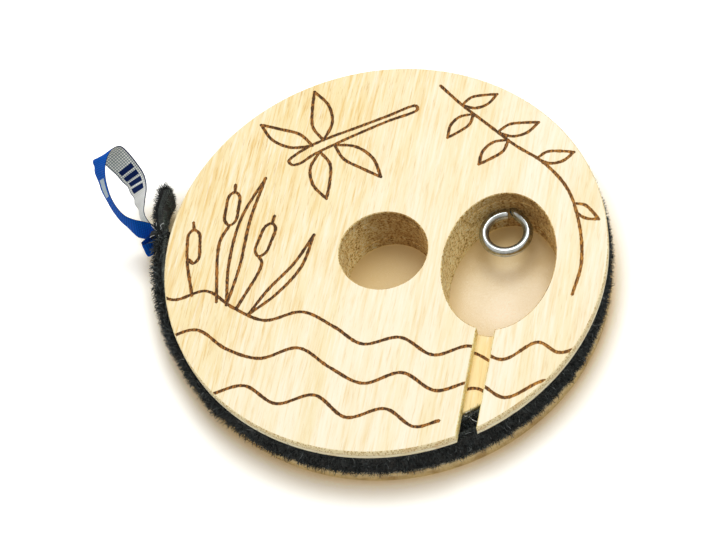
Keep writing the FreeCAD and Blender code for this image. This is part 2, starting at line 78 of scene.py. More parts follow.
class Graph:
    """A node tree whose nodes are put down and fed by socket name, or by number as _0.
    A colour of three values is in 0-255 display values, one of four is linear."""

    def __init__(self, tree):
        self.tree = tree
        tree.nodes.clear()

    def put(self, kind, settings=None, **sockets):
        node = self.tree.nodes.new(kind)
        for key, value in (settings or {}).items():
            setattr(node, key, value)
        self.feed(node, **sockets)
        return node

    def feed(self, node, **sockets):
        for key, value in sockets.items():
            name = key.replace("_", " ").strip()
            target = node.inputs[int(name) if name.isdigit() else name]
            if isinstance(value, bpy.types.NodeSocket):
                self.tree.links.new(value, target)
            elif target.type == "RGBA" and len(value) == 3:
                target.default_value = srgb(*value)
            else:
                target.default_value = value

    def math(self, operation, first, second=0.0, clamp=False):
        settings = {"operation": operation, "use_clamp": clamp}
        return self.put("ShaderNodeMath", settings, _0=first, _1=second).outputs[0]

    def times(self, first, second):
        return self.math("MULTIPLY", first, second)

    def plus(self, first, second):
        return self.math("ADD", first, second)

    def between(self, value, low, high, out_low=0.0, out_high=1.0):
        """The value's place between two marks, eased and held at the ends."""
        return self.put(
            "ShaderNodeMapRange", {"interpolation_type": "SMOOTHSTEP"}, Value=value,
            From_Min=low, From_Max=high, To_Min=out_low, To_Max=out_high,
        ).outputs[0]

    def mix(self, share, first, second):
        settings = {"data_type": "RGBA"}
        return self.put("ShaderNodeMix", settings, _0=share, _6=first, _7=second).outputs[2]

    def touched(self, under, mark, low, high, share, colour):
        """A colour with a share of another laid over it, as the mark goes from low to high."""
        return self.mix(self.times(self.between(mark, low, high), share), under, colour)

    def ramp(self, value, *stops):
        node = self.put("ShaderNodeValToRGB", Fac=value)
        band = node.color_ramp.elements
        while len(band) < len(stops):
            band.new(0.5)
        for element, (position, colour) in zip(band, stops):
            element.position = position
            element.color = srgb(*colour) if len(colour) == 3 else colour
        return node.outputs[0]

    def axes(self, place):
        return self.put("ShaderNodeSeparateXYZ", Vector=place).outputs


class Finish(Graph):
    """One procedural material, on the piece's own Object coordinates."""

    def __init__(self, name, **shader):
        self.material = bpy.data.materials.new(name)
        self.material.use_nodes = True
        super().__init__(self.material.node_tree)
        self.shader = self.put("ShaderNodeBsdfPrincipled", **shader)
        self.put("ShaderNodeOutputMaterial", Surface=self.shader.outputs[0])
        self.place = self.put("ShaderNodeTexCoord").outputs["Object"]

    def surface(self, **sockets):
        """Feeds the shader and hands over the material."""
        self.feed(self.shader, **sockets)
        return self.material

    def stretched(self, scale):
        return self.put("ShaderNodeMapping", Vector=self.place, Scale=scale).outputs[0]

    def noise(self, scale, detail=3.0, roughness=0.55):
        """Noise; with a scale for each axis it is drawn out along the smallest."""
        even = not isinstance(scale, tuple)
        return self.put(
            "ShaderNodeTexNoise", Vector=self.place if even else self.stretched(scale),
            Scale=scale if even else 1.0, Detail=detail, Roughness=roughness,
        ).outputs[0]

    def wave(self, direction, place, scale, distortion, detail=1.0):
        return self.put(
            "ShaderNodeTexWave", {"wave_type": "BANDS", "bands_direction": direction},
            Vector=place, Scale=scale, Distortion=distortion, Detail=detail,
        ).outputs["Fac"]

    def weave(self, picks, ends):
        """The cloth's own UV and threads crossing on it, each way as (scale, distortion)."""
        uv = self.put("ShaderNodeUVMap", {"uv_map": "cloth"}).outputs[0]
        return uv, self.times(self.wave("X", uv, *picks), self.wave("Y", uv, *ends))

    def bump(self, height, distance, strength, **normal):
        return self.put(
            "ShaderNodeBump", Height=height, Distance=distance, Strength=strength, **normal,
        ).outputs[0]

    def attribute(self, name):
        return self.put("ShaderNodeAttribute", {"attribute_name": name}).outputs["Fac"]


# ---- finishes


def bamboo_face(name="bamboo_face", pale=(251, 237, 200), cream=(255, 245, 221),
                warm=(249, 227, 168), streak_tone=(240, 203, 132), depth=1.0):
    """Sanded bamboo with its strips along Y, with painted shade that turns it warmer and darker
    towards the upper left; burnt where the char attribute says so.
    """
    f = Finish(name, Roughness=0.55, Specular_IOR_Level=0.3)
    x, y, _ = f.axes(f.place)
    strips = f.noise((150, 7, 150))
    broad = f.noise((560, 34, 560), roughness=0.6)
    streak = f.noise((1700, 95, 1700), roughness=0.6)
    fine = f.noise((3600, 210, 3600), roughness=0.65)
    cloud = f.noise((45, 22, 45), detail=2.0)
    # Painted shade across the face: warmer and darker towards the upper left, with stronger streaks
    # there; paler towards the lower right.
    across = f.math("SUBTRACT", x, f.times(y, 0.45))
    painted_shade_west = f.between(f.plus(across, f.times(cloud, 0.03)), 0.030, -0.030)
    tone = f.mix(f.between(strips, 0.36, 0.64), pale, cream)
    tone = f.mix(f.times(painted_shade_west, 0.62), tone, warm)
    reach = f.between(painted_shade_west, 0.0, 1.0, 0.42 * depth, depth)
    for mark, low, high, share, colour in (
        (broad, 0.50, 0.70, 0.55, streak_tone),
        (streak, 0.52, 0.68, 0.80, streak_tone),
        (fine, 0.54, 0.72, 0.65, (216, 168, 92)),
    ):
        tone = f.touched(tone, mark, low, high, f.times(reach, share), colour)
    grained = f.touched(tone, streak, 0.47, 0.34, 0.55, (255, 249, 230))

    char = f.attribute("char")
    dash = f.noise((2500, 700, 2500), roughness=0.6)
    wobble = f.noise((2300, 1500, 2300))
    east = f.between(x, 0.016, 0.046)
    light_burn = f.mix(east, (172, 110, 38), (196, 136, 54))
    dark_burn = f.mix(east, (72, 44, 14), (112, 70, 22))
    burnt = f.mix(f.between(dash, 0.45, 0.60), dark_burn, light_burn)
    burnt = f.touched(burnt, wobble, 0.52, 0.70, 0.7, (50, 29, 8))
    line = f.between(f.plus(char, f.times(wobble, 0.5)), 0.56, 0.95)
    scorch = f.between(f.plus(char, f.times(wobble, 0.4)), 0.28, 0.85)
    colour = f.mix(f.times(scorch, 0.75), grained, (222, 168, 88))
    fibres = f.bump(f.plus(streak, fine), 0.00005, 0.6)
    return f.surface(
        Base_Color=f.mix(line, colour, burnt),
        Normal=f.bump(f.times(wobble, char), 0.00012, 0.8, Normal=fibres),
        Roughness=f.between(streak, 0.3, 0.7, 0.5, 0.66),
    )


# In metres: where the plies start over, and the heights between which the painted shade
# on the lower cheek's rim sets in.
PLY_OFFSET, LOW_RIM_SHADE = 0.004, (0.0045, 0.0035)


def ply_edge():
    """Rim of a cheek: two thicknesses of ply, the upper one in dotted end grain. The lower cheek's
    rim is darkened to a mottled brown: painted shade under the strap and the upper cheek.
    """
    f = Finish("ply_edge", Roughness=0.65, Specular_IOR_Level=0.3)
    z = f.axes(f.place)["Z"]
    cheek = CHEEK * MM
    height = f.math("DIVIDE", f.math("MODULO", f.plus(z, PLY_OFFSET), cheek), cheek)
    pores = f.put("ShaderNodeTexVoronoi", Vector=f.stretched((1, 1, 0.6)), Scale=2400)
    pores = pores.outputs["Distance"]
    lines = f.noise((340, 340, 3400), detail=4.0, roughness=0.6)
    stain = f.noise(260)
    dotted = f.mix(f.between(pores, 0.25, 0.60), (206, 178, 122), (250, 234, 190))
    plain = f.mix(f.between(lines, 0.35, 0.65), (246, 230, 186), (255, 248, 222))
    glue = f.times(f.between(height, 0.36, 0.42), f.between(height, 0.50, 0.43))
    colour = f.mix(f.between(height, 0.42, 0.50), plain, dotted)
    colour = f.mix(f.times(glue, 0.35), colour, (150, 112, 62))
    colour = f.touched(colour, stain, 0.52, 0.70, 0.5, (206, 158, 90))
    # Painted shade on the lower cheek's rim, mottled by the stain noise.
    painted_low_shade = f.mix(f.between(stain, 0.40, 0.66), (212, 180, 116), (170, 132, 72))
    colour = f.touched(colour, z, *LOW_RIM_SHADE, 0.75, painted_low_shade)
    return f.surface(Base_Color=colour, Normal=f.bump(f.plus(pores, lines), 0.00008, 0.7))


def burnt_wall():
    """Cut wall of a hole: turned brown by the cut, speckled like cork, streaked down the wall, and a
    lighter honey tone near the slot. Painted light and shade by the way a wall faces: lighter and
    olive facing +X, darker and russet facing -X, darker still facing -Y.
    """
    f = Finish("burnt_wall", Roughness=0.85, Specular_IOR_Level=0.15)
    y = f.axes(f.place)["Y"]
    grit = f.noise(1900, detail=4.0, roughness=0.75)
    smear = f.noise((1100, 1100, 240), roughness=0.6)
    layer = f.noise((120, 120, 900), detail=2.0)
    tone = f.plus(f.times(grit, 0.75), f.times(smear, 0.25))
    lit_olive = f.ramp(tone, (0.40, (148, 112, 52)), (0.47, (238, 206, 136)),
                   (0.53, (255, 234, 170)), (0.60, (255, 250, 214)))
    shaded_russet = f.ramp(tone, (0.40, (104, 68, 28)), (0.47, (204, 160, 96)),
                    (0.53, (236, 196, 124)), (0.60, (255, 232, 172)))
    honey = f.ramp(tone, (0.38, (222, 180, 98)), (0.48, (255, 234, 160)),
                   (0.58, (255, 250, 208)))
    facing = f.axes(f.put("ShaderNodeNewGeometry").outputs["Normal"])
    # Painted light and shade: walls facing +X lighter and olive, walls facing -X darker and russet.
    colour = f.mix(f.between(facing[0], 0.75, -0.15), lit_olive, shaded_russet)
    colour = f.mix(f.between(y, -0.0172, -0.0190), colour, honey)
    # Painted shade: walls facing -Y, the far walls of the holes, darker still.
    colour = f.touched(colour, facing[1], -0.35, -1.0, 0.55, (104, 72, 34))
    colour = f.touched(colour, layer, 0.5, 0.7, 0.3, (150, 108, 54))
    return f.surface(Base_Color=colour, Normal=f.bump(grit, 0.00018, 0.9))


def polished_wire():
    f = Finish("polished_wire", Metallic=1.0)
    rubbed = f.noise((300, 300, 2500), detail=4.0, roughness=0.65)
    dull = f.noise(700, detail=2.0)
    return f.surface(
        Base_Color=f.mix(f.between(dull, 0.4, 0.65), (188, 191, 190), (156, 160, 158)),
        Roughness=f.between(rubbed, 0.3, 0.7, 0.13, 0.27),
        Normal=f.bump(rubbed, 0.00002, 0.35),
    )


def pile(name, dark, light, lint, sheen=0.12):
    """Nylon pile: every fibre has its own tone, and a very few are pale lint."""
    f = Finish(name, Roughness=0.6, Specular_IOR_Level=0.35, Sheen_Weight=sheen,
               Sheen_Roughness=0.45, Sheen_Tint=(110, 122, 124))
    tone = f.attribute("tone")
    colour = f.mix(f.between(tone, 0.10, 0.95), dark, light)
    return f.surface(Base_Color=f.mix(f.between(tone, 0.970, 0.975), colour, lint))


def tape_web(name, dark, light, roughness):
    """Woven ground of the strap: fine ribs across, ends along; read from the piece's own UV."""
    f = Finish(name, Roughness=roughness, Specular_IOR_Level=0.35, Sheen_Weight=0.15,
               Sheen_Roughness=0.5)
    _, weave = f.weave((0.62, 0.6), (0.8, 0.4))
    share = f.times(f.plus(weave, f.between(f.noise(900), 0.45, 0.75)), 0.6)
    return f.surface(Base_Color=f.mix(share, dark, light), Normal=f.bump(weave, 0.00010, 0.7))


def sewing_thread():
    f = Finish("sewing_thread", Roughness=0.55, Specular_IOR_Level=0.4)
    ply = f.wave("DIAGONAL", f.place, 1400.0, 1.0, detail=2.0)
    return f.surface(Base_Color=f.mix(ply, (14, 15, 15), (58, 60, 60)),
                     Normal=f.bump(ply, 0.00008, 0.8))


def pale_strand():
    f = Finish("pale_thread", Roughness=0.6, Specular_IOR_Level=0.3)
    tone = f.between(f.noise(900, detail=2.0), 0.35, 0.65)
    return f.surface(Base_Color=f.mix(tone, (204, 210, 212), (255, 255, 255)),
                     Normal=f.bump(f.noise(6000), 0.00004, 0.6))


def ribbon_cloth(name, ground, shade, figure=None, bars=(), plain_from=None):
    """Woven ribbon: a fine check, with plain woven bars where they are listed.
    A bar is (start, end, low, high) in millimetres along and across the ribbon; past
    plain_from the check fades out."""
    f = Finish(name, Roughness=0.8, Specular_IOR_Level=0.06)
    uv, weave = f.weave((0.56, 0.5), (0.42, 0.5))
    u, v, _ = f.axes(uv)
    lit = f.between(weave, 0.03, 0.24)
    if plain_from:
        lit = f.math("MAXIMUM", lit, f.between(u, plain_from - 4, plain_from + 6, 0.0, 0.9))
    colour = f.mix(lit, shade, ground)
    soft = 0.06

    def inside(value, near, far):
        return f.times(f.between(value, near - soft, near + soft),
                       f.between(value, far + soft, far - soft))

    height = weave
    for start, end, low, high in bars:
        share = f.times(inside(u, start, end), inside(v, low, high))
        colour = f.mix(share, colour, figure)
        height = f.plus(height, f.times(share, 0.8))
    return f.surface(Base_Color=colour, Normal=f.bump(height, 0.00007, 0.6))


# ---- mesh helpers


def piece_of(name, points, faces, materials, indices=None, uvs=None, smooth=None, floats=None):
    """A mesh object from points in millimetres, placed in its mesh."""
    mesh = bpy.data.meshes.new(name)
    mesh.from_pydata([tuple(c * MM for c in p) for p in points], [], faces)
    for material in materials:
        mesh.materials.append(material)
    if indices is not None:
        mesh.polygons.foreach_set("material_index", indices)
    if uvs is not None:
        layer = mesh.uv_layers.new(name="cloth")
        layer.data.foreach_set("uv", [c for uv in uvs for c in uv])
    for key, values in (floats or {}).items():
        mesh.attributes.new(key, "FLOAT", "POINT").data.foreach_set("value", values)
    if smooth is not None:
        mesh.shade_smooth()
        mesh.set_sharp_from_angle(angle=math.radians(smooth))
    mesh.validate()
    mesh.update()
    made = bpy.data.objects.new(name, mesh)
    bpy.context.scene.collection.objects.link(made)
    return made


def spline(points, step, closed=False):
    """Points along a smooth curve through the given ones, about a step apart."""
    points = [np.array(p, float) for p in points]
    count = len(points)
    out = []
    for i in range(count if closed else count - 1):
        if closed:
            a, b, c, d = (points[(i + k) % count] for k in (-1, 0, 1, 2))
        else:
            b, c = points[i], points[i + 1]
            a = points[i - 1] if i else 2 * b - c
            d = points[i + 2] if i + 2 < count else 2 * c - b
        ta, tb, tc, td = 0.0, *np.cumsum([max(np.linalg.norm(q - p), 1e-6) ** 0.5
                                          for p, q in ((a, b), (b, c), (c, d))])

        def at(t, p, q, start, end):
            return p * (end - t) / (end - start) + q * (t - start) / (end - start)

        steps = max(2, round(np.linalg.norm(c - b) / step))
        for t in np.linspace(tb, tc, steps, endpoint=False):
            ab, bc, cd = at(t, a, b, ta, tb), at(t, b, c, tb, tc), at(t, c, d, tc, td)
            out.append(at(t, at(t, ab, bc, ta, tc), at(t, bc, cd, tb, td), tb, tc))
    if not closed:
        out.append(points[-1])
    return np.array(out)


def lattice(rows, size, closed=False):
    """Quads between neighbouring rings of points, as (ring, point, next ring, quad)."""
    for i in range(rows if closed else rows - 1):
        k = (i + 1) % rows
        for j in range(size):
            m = (j + 1) % size
            yield i, j, k, [i * size + j, i * size + m, k * size + m, k * size + j]


def end_face(row, size, turn):
    """A ring of points as one face, turned round where turn is -1."""
    return [row * size + j for j in range(size)][::turn]


def square(near, far, low, high):
    """A quad's corners in the cloth's own coordinates, along and across."""
    return [(near, low), (near, high), (far, high), (far, low)]


def grow(name, host, tree, inputs):
    """Runs a node tree on a host mesh and returns what it makes as a plain mesh object."""
    modifier = host.modifiers.new("grow", "NODES")
    modifier.node_group = tree
    for item in tree.interface.items_tree:
        if item.item_type == "SOCKET" and item.in_out == "INPUT" and item.name in inputs:
            modifier[item.identifier] = inputs[item.name]
    bpy.context.view_layer.update()
    graph = bpy.context.evaluated_depsgraph_get()
    mesh = bpy.data.meshes.new_from_object(host.evaluated_get(graph), depsgraph=graph)
    mesh.name = name
    host.modifiers.remove(modifier)
    made = bpy.data.objects.new(name, mesh)
    bpy.context.scene.collection.objects.link(made)
    return made


def discard(*things):
    for thing in things:
        mesh = thing.data
        bpy.data.objects.remove(thing)
        if mesh.users == 0:
            bpy.data.meshes.remove(mesh)


def join(made, carry, slot, node=None):
    """Hangs a piece on the body that carries it, or, where a hinge (body, next body, start, end)
    carries it, only bakes its place into its mesh; hides the node it stands for.
    The slot is not used."""
    if isinstance(carry, str):
        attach(made, carry)
    else:
        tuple(carry[2])
        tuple(carry[3])
        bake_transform(made)
    if node:
        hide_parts(node)


# ---- engraved panels

LINE_FLOOR, LINE_EDGE, LINE_SCORCH = 0.16, 0.33, 0.55
LINE_DEPTH, LINE_STEP, LINE_WAVER, HAND_SEED = 0.16, 0.6, 0.12, 11
RIM_STEP, OVAL_STEP, FINGER_STEP, SLOT_STEPS = 0.75, 0.5, 0.45, 30
BREAK_EDGE = 0.2
LINE_TIP = ((0.62, 0.04), (0.33, 0.22), (0.24, 0.72), (0.08, 0.96))


def arc_points(centre, radii, start, end, step):
    """Points on an oval from one angle to another, the last one left out."""
    turn = end - start
    steps = max(8, round(abs(turn) * max(radii) / step))
    return [
        (centre[0] + radii[0] * math.cos(start + turn * i / steps),
         centre[1] + radii[1] * math.sin(start + turn * i / steps))
        for i in range(steps)
    ]


def shifted(loop, distance):
    """The loop moved to its left, into the wood, by a distance."""
    loop = np.array(loop, float)
    ahead = np.roll(loop, -1, axis=0) - loop
    ahead /= np.maximum(np.linalg.norm(ahead, axis=1), 1e-12)[:, None]
    left = np.stack([-ahead[:, 1], ahead[:, 0]], axis=1)
    back = np.roll(left, 1, axis=0)
    both = left + back
    share = 1 / np.maximum(1 + (left * back).sum(axis=1), 0.35)
    return loop + both * share[:, None] * distance


def disc_loops(radius, slotted):
    """Outlines of a panel with the wood on their left: rim first, then the holes."""
    halves = (OVAL_HALF_WIDTH, OVAL_HALF_LENGTH)
    finger = arc_points((0, 0), (FINGER_RADIUS,) * 2, 0, -TAU, FINGER_STEP)
    if not slotted:
        rim = arc_points((0, 0), (radius, radius), 0, TAU, RIM_STEP)
        return [rim, finger, arc_points((OVAL_X, 0), halves, 0, -TAU, OVAL_STEP)]
    foot_left, foot_right = ((x, -math.sqrt(radius**2 - x**2)) for x in (SLOT_LOW, SLOT_HIGH))
    start, end = (math.atan2(y, x) for x, y in (foot_right, foot_left))
    rim = arc_points((0, 0), (radius, radius), start, end + TAU, RIM_STEP)
    side = (SLOT_LOW - OVAL_X) / OVAL_HALF_WIDTH
    left, right = -math.acos(side), -math.acos(-side)
    oval = arc_points((OVAL_X, 0), halves, left, right - TAU, OVAL_STEP)

    def run(first, last):
        first, last = np.array(first), np.array(last)
        return [tuple(first + (last - first) * i / SLOT_STEPS) for i in range(SLOT_STEPS)]

    top_right = (SLOT_HIGH, oval[0][1])
    return [rim + run(foot_left, oval[0]) + oval + run(top_right, foot_right), finger]


def upright(quad, points):
    """The quad if it turns anticlockwise at every corner, or else its halves, each set upright."""
    def turn(a, b, c):
        (ax, ay), (bx, by), (cx, cy) = points[a], points[b], points[c]
        return (bx - ax) * (cy - ay) - (by - ay) * (cx - ax)

    if all(turn(quad[i - 2], quad[i - 1], quad[i]) > 1e-4 for i in range(4)):
        return [quad]
    halves = [quad[:3], [quad[0], quad[2], quad[3]]]
    return [half if turn(*half) > 0 else half[::-1] for half in halves if abs(turn(*half)) > 1e-4]


def line_strips(strokes):
    """Points and labelled quads of every engraved line: floor, side and scorched border."""
    points, quads, labels = [], [], []
    offsets = (-LINE_SCORCH, -LINE_EDGE, -LINE_FLOOR, LINE_FLOOR, LINE_EDGE, LINE_SCORCH)
    kinds = ("scorch", "side", "floor", "side", "scorch")
    hand = random.Random(HAND_SEED)
    lanes, tip = len(offsets), [share for _, share in LINE_TIP]
    for stroke in strokes:
        way = np.array(stroke)
        ahead = np.gradient(way, axis=0)
        ahead /= np.linalg.norm(ahead, axis=1)[:, None]
        left = np.stack([-ahead[:, 1], ahead[:, 0]], axis=1)
        way = np.concatenate([
            [way[0] - ahead[0] * beyond for beyond, _ in LINE_TIP], way,
            [way[-1] + ahead[-1] * beyond for beyond, _ in reversed(LINE_TIP)],
        ])
        left = np.concatenate([[left[0]] * len(tip), left, [left[-1]] * len(tip)])
        widths = tip + [1 + hand.uniform(-LINE_WAVER, LINE_WAVER) for _ in stroke] + tip[::-1]
        base = len(points)
        for spot, side, width in zip(way, left, widths):
            points += [tuple(spot + side * offset * width) for offset in offsets]
        for i in range(len(way) - 1):
            for k, kind in enumerate(kinds):
                a, b = base + lanes * i + k, base + lanes * (i + 1) + k
                found = upright([a, b, b + 1, a + 1], points)
                quads += found
                labels += ["scorch" if i in (0, len(way) - 2) else kind] * len(found)
    return points, quads, labels


def triangulate(loops, strips=((), (), ())):
    """Triangles of the wood inside the loops, cut along the engraved strips."""
    points, faces, labels = [], [], []
    for number, loop in enumerate(loops):
        ring = list(range(len(points), len(points) + len(loop)))
        points += [tuple(p) for p in loop]
        faces.append(ring if number == 0 else ring[::-1])
        labels.append("wood" if number == 0 else "hole")
    base = len(points)
    points += list(strips[0])
    faces += [[base + i for i in quad] for quad in strips[1]]
    labels += list(strips[2])
    out, _, triangles, sources, _, inside = delaunay_2d_cdt(
        [Vector(p) for p in points], [], faces, 0, 1e-6
    )
    kept = []
    for triangle, within in zip(triangles, inside):
        kinds = {labels[i] for i in within}
        if "wood" in kinds and "hole" not in kinds:
            kept.append((list(triangle), kinds))
    return [(p.x, p.y) for p in out], kept, sources


def edge_loops(faces):
    """Border loops of a set of faces, with the faces on their left."""
    ahead = dict.fromkeys(
        (a, b) for face in faces for a, b in zip(face, face[1:] + face[:1])
    )
    following = {a: b for a, b in ahead if (b, a) not in ahead}
    loops = []
    while following:
        start, here = next(iter(following.items()))
        del following[start]
        loop = [start]
        while here != start:
            loop.append(here)
            here = following.pop(here)
        loops.append(loop)
    return loops


def panel(name, radius, low, high, materials, strokes=(), slotted=False):
    """A flat wooden panel with its holes, broken edges and engraved lines."""
    loops = [shifted(loop, BREAK_EDGE) for loop in disc_loops(radius, slotted)]
    flat, triangles, _ = triangulate(loops, line_strips(strokes))
    rank = {"scorch": 1, "side": 2, "floor": 3}
    depth = {}
    for tri, kinds in triangles:
        level = max(rank.get(kind, 0) for kind in kinds)
        for corner in tri:
            depth[corner] = max(depth.get(corner, 0), level)
    corners = sorted(depth)
    used = {corner: i for i, corner in enumerate(corners)}
    points = [(*flat[c], high - (LINE_DEPTH if depth[c] == rank["floor"] else 0)) for c in corners]
    char = [(0.0, 0.0, 0.6, 1.0)[depth[c]] for c in corners]
    faces = [[used[c] for c in tri] for tri, _ in triangles]
    indices = [0] * len(faces)
    rows = 10 if high - low > CHEEK + 1 else 5
    levels = np.linspace(high - BREAK_EDGE, low + BREAK_EDGE, rows)
    feet = []
    for border in edge_loops(faces):
        outline = np.array([points[i][:2] for i in border])
        outside = shifted(outline, -BREAK_EDGE)
        size = len(border)
        rings = [border]
        for line, level in [(outside, level) for level in levels] + [(outline, low)]:
            rings.append(list(range(len(points), len(points) + size)))
            points += [(*p, level) for p in line]
            char += [0.0] * size
        feet.append((rings[-1], outline))
        for above, below in zip(rings, rings[1:]):
            for i in range(size):
                j = (i + 1) % size
                faces.append([above[j], above[i], below[i], below[j]])
                on_rim = min(math.hypot(*outside[i]), math.hypot(*outside[j])) > radius - 0.1
                indices.append(1 if on_rim else 2)
    feet.sort(key=lambda pair: -np.abs(pair[1]).max())
    _, under, sources = triangulate([outline for _, outline in feet])
    numbers = [i for foot, _ in feet for i in foot]
    faces += [[numbers[sources[c][0]] for c in reversed(tri)] for tri, _ in under]
    indices += [0] * len(under)
    return piece_of(name, points, faces, materials, indices, smooth=28, floats={"char": char})


# ---- engraved drawing

RIPPLES = (
    ((-52, -15), (-45, -17.5), (-38, -14.5), (-31, -18), (-23, -20.5), (-15, -17.5), (-7, -20.5),
     (0, -24), (8, -21.5), (16, -25), (23.5, -22), (31, -24.5), (38, -19.5), (43, -21.5),
     (50, -17.5)),
    ((-45, -28), (-38, -24.5), (-30, -28.5), (-22, -30), (-14, -26.5), (-6, -30.5), (2, -33.5),
     (10, -30), (18, -33.5), (26, -30.5), (33, -33.5), (41, -28.5), (47, -29.5)),
    ((-31, -40), (-24, -37), (-16, -40.5), (-8, -37.5), (0, -42), (8, -39), (15, -42.5),
     (20, -40.5)),
)
REEDS = (((-35, -17), (-37.5, 14), 1.6), ((-30, -18.2), (-26.5, 6.5), -1.4),
         ((-41, -16), (-45, 3), 1.2))
BLADES = (((-32.5, -17.6), (-31.0, 16.5), 2.6, 0.05), ((-27, -19.4), (-16.5, 2.5), 2.3, -0.07))
DRAGONFLY = ((-25.6, 20.6), (-23.8, 21.2), (-21.2, 23.8), (-17.5, 26.6), (-12, 30.4),
             (-5.5, 34.6), (0.8, 38.4), (0.2, 39.4), (-6.2, 35.8), (-12.8, 32.0),
             (-18.8, 28.6), (-22.6, 26.0), (-25.4, 23.4), (-26.6, 21.6))
WINGS = (((-21.9, 26.3), (-35.4, 31.0), 4.0, 0.06), ((-19.6, 28.0), (-24.6, 41.4), 4.6, -0.05),
         ((-19.8, 24.8), (-15.6, 12.2), 4.6, -0.05), ((-16.8, 27.0), (-4.2, 19.2), 4.2, 0.06))
TWIG = ((5, 45.5), (11, 40.5), (18, 35.5), (25, 30.5), (32, 26.5), (38.5, 20), (42.5, 11),
        (44.4, 1), (43.6, -7))
LEAVES = (((11, 40.5), (18.6, 44.2), 3.2, -0.06), ((14, 38.2), (9.2, 31.2), 3.2, -0.06),
          ((20.5, 33.7), (29.4, 37.2), 3.4, -0.06), ((23.2, 31.8), (17.6, 24.6), 3.4, -0.06),
          ((30.5, 27.4), (38.6, 29.8), 3.2, -0.06), ((40.6, 16.2), (46.6, 12.6), 2.6, -0.05))


def open_line(points):
    return spline(points, LINE_STEP)


def closed_line(points):
    """A smooth closed line, its first point said again at the end."""
    ring = spline(points, LINE_STEP, closed=True)
    return np.concatenate([ring, ring[:1]])


def leaf(root, tip, width, lean):
    """Outline of a pointed leaf as two lines, up one side and down the other."""
    root, tip = np.array(root, float), np.array(tip, float)
    way = tip - root
    side = np.array([-way[1], way[0]]) / np.linalg.norm(way) * width / 2
    bend = np.array([-way[1], way[0]]) * lean

    def margin(hand):
        return [root, root + way * 0.3 + side * hand + bend * 0.6,
                root + way * 0.66 + side * 0.85 * hand + bend, tip]

    return open_line(margin(1)), open_line(margin(-1)[::-1])


def bulrush(foot, top, bend):
    """A stalk with its long brown head and the bare point over it."""
    foot, top = np.array(foot, float), np.array(top, float)
    way = top - foot
    unit = way / np.linalg.norm(way)
    side = np.array([-unit[1], unit[0]])
    low, high = top - unit * 11, top - unit * 2
    head = [low, low + unit * 1.2 + side * 1.25, (low + high) / 2 + side * 1.45,
            high - unit * 1.0 + side * 1.2, high, high - unit * 1.0 - side * 1.2,
            (low + high) / 2 - side * 1.45, low + unit * 1.2 - side * 1.25]
    return [open_line([foot, foot + way * 0.5 + side * bend, low]), closed_line(head),
            open_line([high, top + side * 0.2])]


def leaves(rows):
    return [line for row in rows for line in leaf(*row)]


def drawing():
    """Ripples, bulrushes, a dragonfly and a leafy twig, each line in millimetres on the disc."""
    reeds = [line for row in REEDS for line in bulrush(*row)]
    return ([open_line(ripple) for ripple in RIPPLES] + reeds + leaves(BLADES)
            + [closed_line(DRAGONFLY)] + leaves(WINGS) + [open_line(TWIG)] + leaves(LEAVES))


# ---- strap

INNER_RADIUS, INNER_START, PROFILE_GAP = 45.5, 480, 0.9


class Arc:
    """A stretch of the strap's middle line, walked clockwise."""

    def __init__(self, centre, radius, start, end):
        self.centre, self.radius = Vector((*centre, 0)), radius
        self.start = math.radians(start)
        self.length = abs(self.start - math.radians(end)) * radius

    def at(self, distance):
        angle = self.start - distance / self.radius
        out = Vector((math.cos(angle), math.sin(angle), 0))
        return self.centre + out * self.radius, out


WRAP = [
    Arc((0, 0), INNER_RADIUS, INNER_START, 180),
    Arc((12.316, 0.0), 57.816, 180, 150),
    Arc((-6.158, 10.666), 36.484, 150, 120),
    Arc((0, 0), 48.8, 120, -60),
    Arc((-0.6, 1.039), 50.0, 300, 225),
    Arc((6.471, 8.110), 60.0, 225, 186),
]
LINK_FROM = sum(arc.length for arc in WRAP[:4])
HINGES = [0.0, 21.817, 43.633, 65.450, 85.870]
TAIL = sum(arc.length for arc in WRAP)


def strap_at(distance):
    """Middle of the strap and its outward direction, a distance along it from its inner end."""
    for arc in WRAP:
        if distance <= arc.length or arc is WRAP[-1]:
            return arc.at(distance)
        distance -= arc.length


def rounded(low, high, half, radius, corner=4):
    """A rounded rectangle across the strap: outward offsets against height, anticlockwise."""
    out = []
    for cx, cy, first in ((high - radius, half - radius, 0), (low + radius, half - radius, 90),
                          (low + radius, -half + radius, 180), (high - radius, -half + radius, 270)):
        for i in range(corner + 1):
            angle = math.radians(first + 90 * i / corner)
            out.append((cx + radius * math.cos(angle), cy + radius * math.sin(angle)))
    return out


def filled(profile):
    """More points on the long sides of a profile."""
    out = []
    for a, b in zip(profile, profile[1:] + profile[:1]):
        steps = max(1, round(math.dist(a, b) / PROFILE_GAP))
        out += [(a[0] + (b[0] - a[0]) * i / steps, a[1] + (b[1] - a[1]) * i / steps)
                for i in range(steps)]
    return out


def swept(name, stations, profile, material, caps=(True, True)):
    """A profile carried along stations of (place, outward, distance)."""
    size, rows = len(profile), len(stations)
    run = [0.0]
    for a, b in zip(profile, profile[1:] + profile[:1]):
        run.append(run[-1] + math.dist(a, b))
    faces, uvs = [], []
    for i, j, k, quad in lattice(rows, size):
        faces.append(quad)
        uvs += square(stations[i][2], stations[k][2], run[j], run[j + 1])
    for wanted, row, turn in zip(caps, (0, rows - 1), (-1, 1)):
        if wanted:
            faces.append(end_face(row, size, turn))
            uvs += profile[::turn]
    made = piece_of(name, across(stations, profile), faces, [material], uvs=uvs, smooth=50)
    flip_if_needed(made.data)
    return made


def across(stations, profile):
    """The points of a profile at every station."""
    return [place + out * d + UP * h for place, out, _ in stations for d, h in profile]


